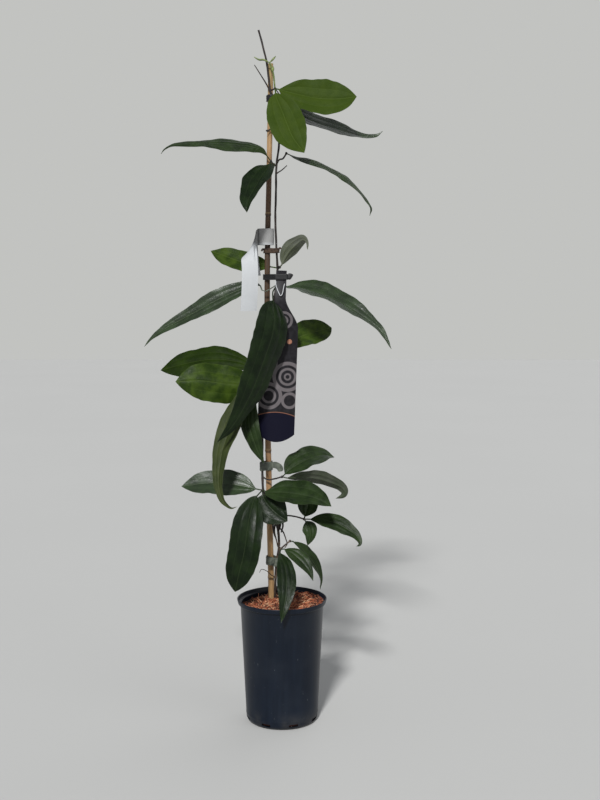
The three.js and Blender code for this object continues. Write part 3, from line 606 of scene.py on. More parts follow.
BLACK_TIE = band_finish("black_tie", (0.004, 0.004, 0.004), (0.010, 0.010, 0.011), 0.45, 150)
BROWN_TIE = band_finish("brown_tie", (0.020, 0.012, 0.008), (0.070, 0.040, 0.024), 0.75, 220)
GREY_TAPE = band_finish("grey_tape", (0.060, 0.070, 0.055), (0.120, 0.135, 0.105), 0.5, 170)

# %% [markdown]
# ## Printed label
# The label's plastic is printed with grey rings and copper dots on charcoal, over a navy panel with
# a copper line along its top. An image would be the usual way. Here the mesh notes how far each
# point is across and down the label in millimetres, and a distance formula draws each ring sharp.

# %% Finish: printed label
LABEL_RINGS = [
    ((-17, 132), [(14, 4.5), (7, 3)]),
    ((14, 150), [(19, 5), (11, 3.5), (4, 2.5)]),
    ((-12, 178), [(17, 5), (9, 3.5)]),
    ((18, 184), [(10, 4)]),
    ((6, 70), [(11, 3.5), (5, 2.5)]),
]
LABEL_DOTS = [(-15, 100), (-5, 104), (5, 104), (15, 100)]
LABEL_DOT_WIDTH = 7
LABEL_PANEL_TOP = 201
LABEL_PANEL_CURVE = 0.008
PRINT_BLUR = 0.15


def ring(across, down, centre, radius, width):
    """1 on a printed ring and 0 off it, by the distance from its centre."""
    x = across - centre[0]
    y = down - centre[1]
    from_ring = abs((x * x + y * y).root() - radius)
    return 1 - from_ring.over(width / 2 - PRINT_BLUR, width / 2 + PRINT_BLUR)


def label_finish():
    finish = Finish("label_print")
    place, (across, down, front) = finish.note("label_mm")
    ink = finish.noise(place, 0.16, detail=4)
    tone = finish.mix(ink.over(0.35, 0.7), (0.012, 0.011, 0.013), (0.020, 0.019, 0.022))
    grey = finish.mix(ink, (0.11, 0.098, 0.102), (0.17, 0.152, 0.158))
    for centre, radii in LABEL_RINGS:
        for radius, width in radii:
            tone = finish.mix(ring(across, down, centre, radius, width) * 0.9, tone, grey)
    copper = finish.mix(ink.over(0.3, 0.7), (0.20, 0.075, 0.045), (0.42, 0.21, 0.14))
    for centre in LABEL_DOTS:
        tone = finish.mix(ring(across, down, centre, 0, LABEL_DOT_WIDTH), tone, copper)
    panel_edge = LABEL_PANEL_TOP + across * across * LABEL_PANEL_CURVE
    panel = (down - panel_edge).over(-PRINT_BLUR, PRINT_BLUR)
    rule = 1 - abs(down - panel_edge).over(0.35, 0.6)
    tone = finish.mix(panel, tone, (0.004, 0.004, 0.013))
    tone = finish.mix(rule * 0.8, tone, (0.28, 0.12, 0.07))
    plain = finish.mix(ink, (0.012, 0.012, 0.014), (0.020, 0.020, 0.023))
    return finish.done({
        "Base Color": finish.mix(front.over(0.4, 0.6), plain, tone),
        "Roughness": 0.34 + ink * 0.12,
        "Specular IOR Level": 0.15,
        "Normal": finish.bump(ink, 0.2, 0.2),
    })


LABEL_PRINT = label_finish()

# %% [markdown]
# ## Paper
# The tag is white coated paper, creased along its length. Its loop round the cane is greyed with
# painted shade. Fine noise gives the pulp, and a soft step in height, in metres, marks where the loop
# starts.

# %% Finish: paper
TAG_LOOP_FOOT = 0.687


def paper_finish():
    finish = Finish("paper")
    place = finish.place()
    pulp = finish.noise(place, 700, detail=3)
    creases = finish.noise(finish.stretch(place, (1, 1, 0.4)), 60, detail=4)
    tone = finish.mix(creases.over(0.4, 0.75) * 0.35, (0.47, 0.485, 0.495), (0.39, 0.40, 0.41))
    # painted shade: the paper is greyed above this height, over the loop round the cane
    looped = finish.parts(place)[2].over(TAG_LOOP_FOOT, TAG_LOOP_FOOT + 0.007)
    tone = finish.mix(looped * 0.8, tone, (0.25, 0.245, 0.235))
    return finish.done({
        "Base Color": tone,
        "Roughness": 0.55 + pulp * 0.15,
        "Normal": finish.bump(creases + pulp * 0.1, 0.5, 0.4),
    })


PAPER = paper_finish()

# %% [markdown]
# ## Pot
# A nursery pot is a thin moulded cup: a wall that widens a little upwards, a rounded foot, and a thin
# upright collar that stands on a narrow ledge. One closed profile spun round the axis gives the
# whole cup, inside and out, with an even wall that two separate surfaces would not keep.

# %% Pot sizes and the lathed cup
POT_HEIGHT = 180
RIM_RADIUS = 65
COLLAR_FOOT_RADIUS = 63.8
COLLAR_HEIGHT = 7
COLLAR_EDGE = 1.2
BODY_TOP_RADIUS = 60.4
BODY_FOOT_RADIUS = 52.2
FOOT_ROUND = 8
FOOT_RING = [(0, 0.8), (38, 0.8), (39.5, 0.0)]
FOOT_BEAD = [(0.5, 12), (0.55, 12.8), (0.25, 13.4)]
POT_WALL = 1.8
POT_FLOOR = 2.6
POT_SIDES = 144


def arc(centre, radius, start, end, count):
    """Profile points on part of a circle, from one angle to another in degrees."""
    angles = [radians(start + (end - start) * i / (count - 1)) for i in range(count)]
    return [(centre[0] + radius * cos(a), centre[1] + radius * sin(a)) for a in angles]


def cup_profile():
    collar_foot = POT_HEIGHT - COLLAR_HEIGHT
    ledge = collar_foot + POT_WALL
    collar_inside = COLLAR_FOOT_RADIUS - POT_WALL
    inner_top = BODY_TOP_RADIUS - POT_WALL
    inner_foot = BODY_FOOT_RADIUS - POT_WALL
    inner_round = FOOT_ROUND - POT_WALL
    rim_round = POT_WALL / 2
    outside = arc((BODY_FOOT_RADIUS - FOOT_ROUND, FOOT_ROUND), FOOT_ROUND, -90, 0, 12)
    outside += [(BODY_FOOT_RADIUS + proud, height) for proud, height in FOOT_BEAD]
    outside += [(BODY_TOP_RADIUS - 0.3, collar_foot - 2.4), (BODY_TOP_RADIUS + 0.4, collar_foot - 0.8)]
    collar = arc((COLLAR_FOOT_RADIUS - COLLAR_EDGE, collar_foot + COLLAR_EDGE), COLLAR_EDGE, -90, 0, 7)
    collar += arc((RIM_RADIUS - rim_round, POT_HEIGHT - rim_round), rim_round, 0, 180, 11)
    collar += arc((collar_inside - 1.0, ledge + 1.0), 1.0, 0, -90, 5)
    inside = [(inner_top + 0.8, ledge), (inner_top, ledge - 0.8), (inner_top, collar_foot)]
    inside += arc((inner_foot - inner_round, POT_FLOOR + inner_round), inner_round, 0, -90, 8)
    return [*FOOT_RING, *outside, *collar, *inside, (0, POT_FLOOR)]


pot_points, pot_faces = lathe(cup_profile(), POT_SIDES)
pot = make_piece("pot_shell", pot_points, pot_faces, POT_PLASTIC, ["pot"])

# %% [markdown]
# ## Drain slots
# Eight rounded slots let water out where the wall meets the foot. Bending the wall's own faces round
# them would take many points. One Boolean cuts them all, and its result is kept as a plain mesh.

# %% Cut the drain slots
DRAIN_SLOTS = 8
DRAIN_WIDTH = 14
DRAIN_HEIGHT = 4.5
DRAIN_LEVEL = 6.4
DRAIN_FIRST_ANGLE = radians(-115.6)
SLOT_CORNERS = [(-1, -0.7), (-0.85, -1), (0.85, -1), (1, -0.7), (1, 0.7), (0.85, 1), (-0.85, 1), (-1, 0.7)]


def slot_cutters():
    pile = Pile()
    count = len(SLOT_CORNERS)
    sides = [[k, (k + 1) % count, count + (k + 1) % count, count + k] for k in range(count)]
    ends = [list(range(count - 1, -1, -1)), list(range(count, 2 * count))]
    for i in range(DRAIN_SLOTS):
        turn = DRAIN_FIRST_ANGLE + 2 * pi * i / DRAIN_SLOTS
        points = []
        for depth in (-FOOT_ROUND / 2, FOOT_ROUND / 2):
            for across, up in SLOT_CORNERS:
                reach = BODY_FOOT_RADIUS + depth
                side = across * DRAIN_WIDTH / 2
                points.append((
                    reach * cos(turn) - side * sin(turn),
                    reach * sin(turn) + side * cos(turn),
                    DRAIN_LEVEL + up * DRAIN_HEIGHT / 2,
                ))
        pile.put(points, sides + ends)
    return add_object("slot_cutters", new_mesh("slot_cutters", pile.all_points(), pile.faces))


cutters = slot_cutters()
cut = pot.modifiers.new("drain_slots", "BOOLEAN")
cut.operation = "DIFFERENCE"
cut.object = cutters
bpy.context.view_layer.update()
cut_mesh = bpy.data.meshes.new_from_object(pot.evaluated_get(bpy.context.evaluated_depsgraph_get()))
pot.modifiers.clear()
pot.data = cut_mesh
smooth(cut_mesh)
bpy.data.objects.remove(cutters)
print("pot with its slots:", len(pot.data.polygons), "faces")

# %% [markdown]
# ## Potting mix
# Potting mix fills the pot. It is one closed shape, turned on the axis as the pot is, and its top is
# then raised by a formula of the place. The bark lies on the same formula, so the two always meet.

# %% Potting mix
SOIL_LEVEL = 169.5
SOIL_SLOPE = 0.035
SOIL_GAP = 0.5
SOIL_EDGE = 57.6
SOIL_SHADE = 0.12
HEAP_START = 38
HEAP_REACH = 17
HEAP_HEIGHT = 3.6


def soil_height(x, y):
    """The top of the bark. It is heaped against the collar on the right and in front."""
    waves = 0.9 * np.sin(x / 8.5 + 1) * np.cos(y / 10.5) + 0.5 * np.sin(x / 4.3 + y / 5.1)
    outwards = np.clip((np.hypot(x, y) - HEAP_START) / HEAP_REACH, 0, 1)
    side = 0.5 + 0.5 * np.cos(np.arctan2(y, x) + 0.5)
    return SOIL_LEVEL + SOIL_SLOPE * x + waves + HEAP_HEIGHT * outwards * side


def potting_mix(pile):
    inner_round = FOOT_ROUND - POT_WALL
    foot = BODY_FOOT_RADIUS - POT_WALL - SOIL_GAP
    base = POT_FLOOR + SOIL_GAP
    profile = [(0, base), *arc((foot - inner_round, base + inner_round), inner_round, -90, 0, 6)]
    rings = np.linspace(1, 0, 30)
    profile += [(SOIL_EDGE * share, SOIL_LEVEL) for share in rings]
    points, faces = lathe(profile, 96)
    top = points[:, 2] > SOIL_LEVEL - 1
    crumbs = 0.35 * np.sin(points[:, 0] * 1.9) * np.sin(points[:, 1] * 2.3)
    points[top, 2] = (soil_height(points[:, 0], points[:, 1]) + crumbs)[top]
    notes = np.column_stack([points[:, :2], np.full(len(points), SOIL_SHADE)])
    pile.put(points, faces, notes)


print("the bark beside the cane is", round(float(soil_height(-16, 30)), 1), "mm up")

# %% [markdown]
# ## Bark mulch
# Shredded bark covers the mix: seventeen hundred torn slivers, a few of them on end and some on the
# ledge inside the collar. A texture alone would look flat from above, where one looks into the pot.
# A seeded draw gives each sliver a place, a length and a tilt, so the mulch falls the same way on
# each run.

# %% One sliver of bark
SLIVER_SIDES = 6
LONG_SLIVER = 12
SLIVER_FACES = grid_faces(3, SLIVER_SIDES, wrap=True) + [list(range(5, -1, -1)), list(range(12, 18))]


def bark_sliver(draw, x, y, length, tilt, lift):
    """A torn sliver of bark: three uneven rings, thin at both ends."""
    width = draw.uniform(0.10, 0.30) * length if length < 9 else draw.uniform(0.5, 1.9)
    thick = draw.uniform(0.5, 1.3)
    turn = draw.uniform(0, 2 * pi)
    shade = draw.uniform(0, 1) ** 1.2
    if length > LONG_SLIVER:
        shade = draw.uniform(0.75, 1.1)
    angles = np.linspace(0, 2 * pi, SLIVER_SIDES, endpoint=False)
    points = []
    for station, size in ((-0.5, 0.45), (-0.1, 1.0), (0.5, 0.35)):
        jitter = 1 + 0.35 * draw.uniform(-1, 1, SLIVER_SIDES)
        across = np.cos(angles) * width / 2 * size * jitter
        up = np.sin(angles) * thick / 2 * size * jitter
        along = station * length * (1 + 0.1 * draw.uniform(-1, 1, SLIVER_SIDES))
        points.append(np.column_stack([along, across, up]))
    points = np.vstack(points)
    notes = np.column_stack([points[:, 0] + 40 * shade, points[:, 1], np.full(len(points), shade)])
    roll = draw.uniform(-0.5, 0.5)
    y_rolled = points[:, 1] * cos(roll) - points[:, 2] * sin(roll)
    z_rolled = points[:, 1] * sin(roll) + points[:, 2] * cos(roll)
    x_tilted = points[:, 0] * cos(tilt) - z_rolled * sin(tilt)
    z_tilted = points[:, 0] * sin(tilt) + z_rolled * cos(tilt)
    placed = np.column_stack([
        x + x_tilted * cos(turn) - y_rolled * sin(turn),
        y + x_tilted * sin(turn) + y_rolled * cos(turn),
        soil_height(x, y) + lift + z_tilted,
    ])
    return placed, notes


# %% All the bark
LEDGE = 175.2
ALL_ROUND = (0, 2 * pi)
SLIVERS = 1500
LEDGE_SLIVERS = 170
LEDGE_SPAN = (-1.9, 0.9)
STANDING_SLIVERS = 26
SPLINTERS = 9
SPLINTER_SPAN = (2.6, 4.4)


def placed_sliver(draw, reach, span, length, tilt, lift):
    """A sliver somewhere in a span of angles. Without a lift it lies on the ledge of the collar."""
    angle = draw.uniform(*span)
    place = (reach * cos(angle), reach * sin(angle))
    if lift is None:
        lift = max(0, LEDGE - soil_height(*place)) + draw.uniform(0, 1.2)
    points, notes = bark_sliver(draw, *place, length, tilt, lift)
    return points, SLIVER_FACES, notes


def bark_mulch():
    draw = np.random.default_rng(7)
    pile = Pile()
    potting_mix(pile)
    for _ in range(SLIVERS):
        length = 4.5 + 12 * draw.uniform(0, 1) ** 1.6
        reach = (SOIL_EDGE - length * 0.45) * sqrt(draw.uniform(0, 1))
        tilt = draw.normal(0, 0.3)
        pile.put(*placed_sliver(draw, reach, ALL_ROUND, length, tilt, draw.uniform(0.2, 3.0)))
    for _ in range(LEDGE_SLIVERS):
        reach = draw.uniform(55, 59.5)
        pile.put(*placed_sliver(draw, reach, LEDGE_SPAN, draw.uniform(3, 7), 0, None))
    for _ in range(STANDING_SLIVERS):
        reach = 44 * sqrt(draw.uniform(0, 1))
        length = draw.uniform(9, 16)
        pile.put(*placed_sliver(draw, reach, ALL_ROUND, length, draw.uniform(0.3, 0.8), 3.0))
    for _ in range(SPLINTERS):
        reach = draw.uniform(18, 40)
        length = draw.uniform(14, 20)
        pile.put(*placed_sliver(draw, reach, SPLINTER_SPAN, length, draw.uniform(0.4, 1.1), 5.0))
    return pile


mulch = bark_mulch()
make_piece("bark_mulch", mulch.all_points(), mulch.faces, BARK, ["growing_medium"],
           {"chip_place": mulch.all_notes()})

# %% [markdown]
# ## Bamboo cane
# A bamboo cane is a long tapering rod with a swollen ring at each knot and a shallow groove above it.
# A stack of cylinders would show its joins, so one tube follows the cane's bend and a formula of
# height swells it. The top is sawn off and shows the hollow: its last rings turn inwards and down.

# %% Cane
CANE_ROUTE = [
    (-16, 30, 24), (-16, 30, 100), (-16, 30, 168), (-17.8, 29, 265), (-19.7, 28, 363), (-21.2, 27, 450),
    (-21.3, 25.6, 560), (-20.3, 24, 682), (-17.9, 22.5, 780), (-15.7, 21, 891), (-15.1, 20, 941),
]
CANE_FOOT_RADIUS = 4.75
CANE_TOP_RADIUS = 3.65
CANE_HOLLOW_DEPTH = 5.0
CANE_SIDES = 28


def cane_radius(distance, angle):
    height = CANE_ROUTE[0][2] + distance
    share = distance / (CANE_ROUTE[-1][2] - CANE_ROUTE[0][2])
    radius = CANE_FOOT_RADIUS + (CANE_TOP_RADIUS - CANE_FOOT_RADIUS) * share
    radius = radius + 0.05 * np.sin(3 * angle + height / 40) + 0.04 * np.sin(height / 7 + 2 * angle)
    for knot in CANE_KNOTS:
        radius = radius + 0.55 * np.exp(-(((height - knot) / 1.5) ** 2))
        radius = radius - 0.20 * np.exp(-(((height - knot + 3.2) / 1.0) ** 2))
        near = np.clip((height - knot) / 60, 0, 1)
        groove = np.where(height > knot, (1 - near) * np.exp(-(((angle - 4.4) / 0.35) ** 2)), 0)
        radius = radius - 0.3 * groove
    return radius


def sawn_top(points, faces, sides):
    """Turns the flat end of a tube into a hollow one."""
    last_ring = points[-2 - sides:-2]
    middle = points[-1].copy()
    kept = [face for face in faces if len(face) == 4 or len(points) - 1 not in face]
    first = len(points)
    rings = []
    for share, drop in ((0.92, -0.15), (0.45, 0.0), (0.42, CANE_HOLLOW_DEPTH)):
        rings.append(middle + (last_ring - middle) * share - (0, 0, drop))
    points = np.vstack([points, *rings])
    ring_starts = [first - 2 - sides, first, first + sides, first + 2 * sides]
    for lower, upper in zip(ring_starts, ring_starts[1:]):
        for i in range(sides):
            after = (i + 1) % sides
            kept.append([lower + i, lower + after, upper + after, upper + i])
    points[first - 1] = middle - (0, 0, CANE_HOLLOW_DEPTH)
    for i in range(sides):
        kept.append([first - 1, ring_starts[-1] + i, ring_starts[-1] + (i + 1) % sides])
    return points, kept


cane_points, cane_faces = tube(CANE_ROUTE, cane_radius, CANE_SIDES, 1.5)
cane_points, cane_faces = sawn_top(cane_points, cane_faces, CANE_SIDES)
make_piece("bamboo_cane", cane_points, cane_faces, BAMBOO, ["cane"])

# %% [markdown]
# ## Stem
# The stem winds up the cane, and at each pair of leaves a stalk leaves it and ends in a knuckle
# where the leaflets part. Some ends have dried off, and stubs of old leaves hang low on the stem.
# Every route is a short list of places in millimetres, the same ones as in the frame's solid.

# %% The stem's routes
STEM_ROUTE = [
    (-9, 23, 116), (-10, 24, 150), (-10.7, 24, 173), (-10.4, 22, 190), (-8.6, 20, 222), (-4.8, 18, 250),
    (-5.9, 17, 276), (-13.1, 16, 298), (-23.3, 17, 320), (-27.6, 18, 338), (-28.6, 20, 364),
    (-28.4, 20.5, 401), (-28, 20, 450), (-26, 18.6, 500), (-20, 15.6, 550), (-13, 16.6, 600),
    (-7.5, 19.5, 632), (-6, 21, 655), (-7.3, 17, 682), (-8.7, 15, 723), (-7.8, 14, 765),
    (-7, 14, 800), (-3.3, 10.5, 831), (-7.5, 12, 862), (-13.1, 14, 890), (-15.2, 14.8, 901),
    (-18.6, 13.5, 926), (-20.5, 13, 942), (-26.1, 12, 965), (-31.6, 12, 985),
]
STALK_ROUTES = {
    "crown": [(-15.4, 14.6, 903), (-12, 11, 903.5), (-8.8, 9, 905)],
    "second": [(-7, 14, 799), (-11, 12, 801), (-14.7, 11.5, 805)],
    "knob": [(-7, 14, 801), (-3, 9, 807), (2.3, 6, 808), (7, 4, 815)],
    "third": [(-6.1, 20.6, 650), (-6, 25, 654), (-5, 29, 656)],
    "raised": [(-6.2, 20.5, 658), (-4.4, 18.6, 658), (-2.6, 17, 657)],
    "fourth": [(-8.2, 19, 627), (-6.5, 16.5, 630), (-5, 14, 633)],
    "fifth_left": [(-26.1, 18.7, 499), (-30, 21.5, 503), (-33, 24.5, 507)],
    "fifth_middle": [(-22.8, 17, 527), (-15, 13, 512), (-9.5, 12, 491)],
    "fifth_right": [(-20.3, 15.7, 548), (-15.5, 13.5, 545), (-11, 13.5, 539)],
    "sixth": [(-24.6, 17.8, 513), (-29, 13, 514), (-34.5, 6, 511), (-37.5, 2, 503)],
    "seventh": [(-27.5, 18, 337), (-28.2, 11.5, 336), (-28.5, 5, 337)],
    "eighth": [(-28.2, 19.2, 354), (-20, 15.5, 350.5), (-9, 11, 353), (0.2, 8, 356)],
    "ninth": [(-8.6, 16.6, 285), (3, 14.5, 297), (18, 10.5, 297.5), (32, 8, 294)],
    "tenth": [(-4.9, 18, 255), (-4, 8, 254), (-2, -2, 252)],
    "tenth_right": [(-2, -2, 252), (4.5, -2, 258), (11.7, 0, 263.5)],
}
DRY_ENDS = [
    (1.2, [(-15.2, 14.8, 901), (-21, 14.2, 912), (-27, 14, 921.6), (-37.5, 14, 938)]),
    (1.1, [(-7.2, 14, 788), (-4, 12, 790), (1, 10.5, 793), (8, 9, 799)]),
    (0.7, [(-9.5, 20.9, 204), (-15, 15, 209), (-23, 11, 217), (-30, 11, 219), (-33, 12, 214)]),
]
OLD_STUBS = [
    (2.3, [(-12, 15.5, 309), (-6.5, 11, 301), (-4.5, 10, 290), (-7, 12, 279)]),
    (2.0, [(-9, 14.5, 300), (-2, 10.5, 296), (1.5, 9.5, 285), (-1, 10, 274)]),
    (1.7, [(-10, 15.5, 296), (-13, 12, 286), (-12, 11.5, 274), (-8, 13.5, 262)]),
    (1.2, [(-6, 14.5, 282), (1.5, 10.5, 275), (5.5, 9.5, 265), (7.5, 9, 257), (4, 9, 251)]),
    (1.4, [(-9, 15, 290), (-11, 11.5, 276), (-8, 11, 262), (-6.2, 13.5, 252)]),
    (1.0, [(-14.5, 14.2, 850), (-18.5, 13, 848), (-20.5, 12.6, 846)]),
]
print(len(STALK_ROUTES), "stalks,", len(DRY_ENDS), "dry ends,", len(OLD_STUBS), "old stubs")

# %% [markdown]
# ## Stem mesh
# Each part of the stem is a tube with a lumpy radius. The tubes run into one another and stay
# separate shells in one mesh, which looks grown together at this size and needs no Boolean.

# %% Stem, stalks and knuckles
STEM_TAPER_LENGTH = 930
STEM_FOOT_RADIUS = 1.9
STEM_TOP_RADIUS = 1.3
STALK_RADIUS = 1.15
JOINT_RADIUS = 1.8
JOINT_STRETCH = 1.15
KNUCKLE_SIDES = 12
KNUCKLE_RINGS = 9


def stem_radius(distance, angle):
    share = distance / STEM_TAPER_LENGTH
    radius = STEM_FOOT_RADIUS + (STEM_TOP_RADIUS - STEM_FOOT_RADIUS) * share
    ridges = 0.10 * np.sin(5 * angle + distance / 9) + 0.07 * np.sin(3 * angle - distance / 4)
    return radius + ridges + 0.12 * np.sin(distance / 3.1) * np.sin(distance / 17)


def stalk_radius(distance, angle):
    return STALK_RADIUS + 0.06 * np.sin(3 * angle + distance / 2) + 0.35 * np.exp(-((distance / 2.5) ** 2))


def tapered(radius, route):
    """The radius of a dry end, which narrows to half at its tip."""
    length = dense_route(route)[1][-1]
    return lambda distance, angle: radius * (1 - 0.5 * distance / length) + 0.1 * np.sin(3 * angle)


def knuckle(centre, radius, stretch):
    """A small lump, a little longer than it is wide."""
    turn = np.linspace(0, pi, KNUCKLE_RINGS)
    profile = [(radius * sin(a), -radius * stretch * cos(a)) for a in turn]
    profile[0] = (0, profile[0][1])
    profile[-1] = (0, profile[-1][1])
    points, faces = lathe(profile, KNUCKLE_SIDES)
    return points + np.array(centre), faces


stem = Pile()
stem.put(*tube(STEM_ROUTE, stem_radius, 14, 2.0))
for route in STALK_ROUTES.values():
    stem.put(*tube(route, stalk_radius, 10, 1.5))
    stem.put(*knuckle(route[-1], JOINT_RADIUS, JOINT_STRETCH))
for thick, route in DRY_ENDS + OLD_STUBS:
    stem.put(*tube(route, tapered(thick, route), 9, 1.5))
make_piece("woody_stem", stem.all_points(), stem.faces, STEM_BARK, ["stem"])

# %% [markdown]
# ## Young shoot
# Above the topmost joint a soft shoot starts: a stalk, a pair of buds and two narrow leaves that
# haven't opened. Tubes that swell and taper give all of them.

# %% Shoot
def spindle(most, least):
    """A radius that swells in the middle of a route and tapers to both its ends."""
    def radius_at(distance, angle):
        share = distance / distance.max()
        return least + (most - least) * np.sin(pi * share) ** 0.8
    return radius_at


SHOOT_STALK = [(-8.9, 9, 904.5), (-11, 9.4, 925), (-16.6, 8, 941)]
SHOOT_TIPS = [
    (1.9, [(-12.4, 8.6, 927), (-11.6, 9, 931), (-11.2, 9, 935.2)]),
    (1.3, [(-12.6, 9.6, 928), (-13.6, 10, 932), (-14.6, 10.2, 935)]),
    (1.35, [(-16.6, 8, 940), (-24, 7, 943.5), (-31, 8, 944), (-38, 9, 948)]),
    (1.35, [(-16, 8, 940), (-12, 8, 944), (-7.6, 9, 949)]),
]
SHOOT_TIP_END = 0.35
shoot = Pile()
shoot.put(*tube(SHOOT_STALK, stalk_radius, 10, 1.5))
for most, route in SHOOT_TIPS:
    shoot.put(*tube(route, spindle(most, SHOOT_TIP_END), 10, 0.8))
make_piece("young_shoot_top", shoot.all_points(), shoot.faces, YOUNG_SHOOT,
           ["young_shoot"])

# %% [markdown]
# ## Leaflets
# The plant's twenty-eight leaflets differ in size, bend and facing, so each has a line of its own.
# The rib is the curve from the knuckle to the tip. Stalk, width and rib are in millimetres, widest
# is a share of the length, base and tip say how full the ends are, face is the way the upper side
# looks, and twist and fold are in degrees. A fold below 0 bends the halves down.

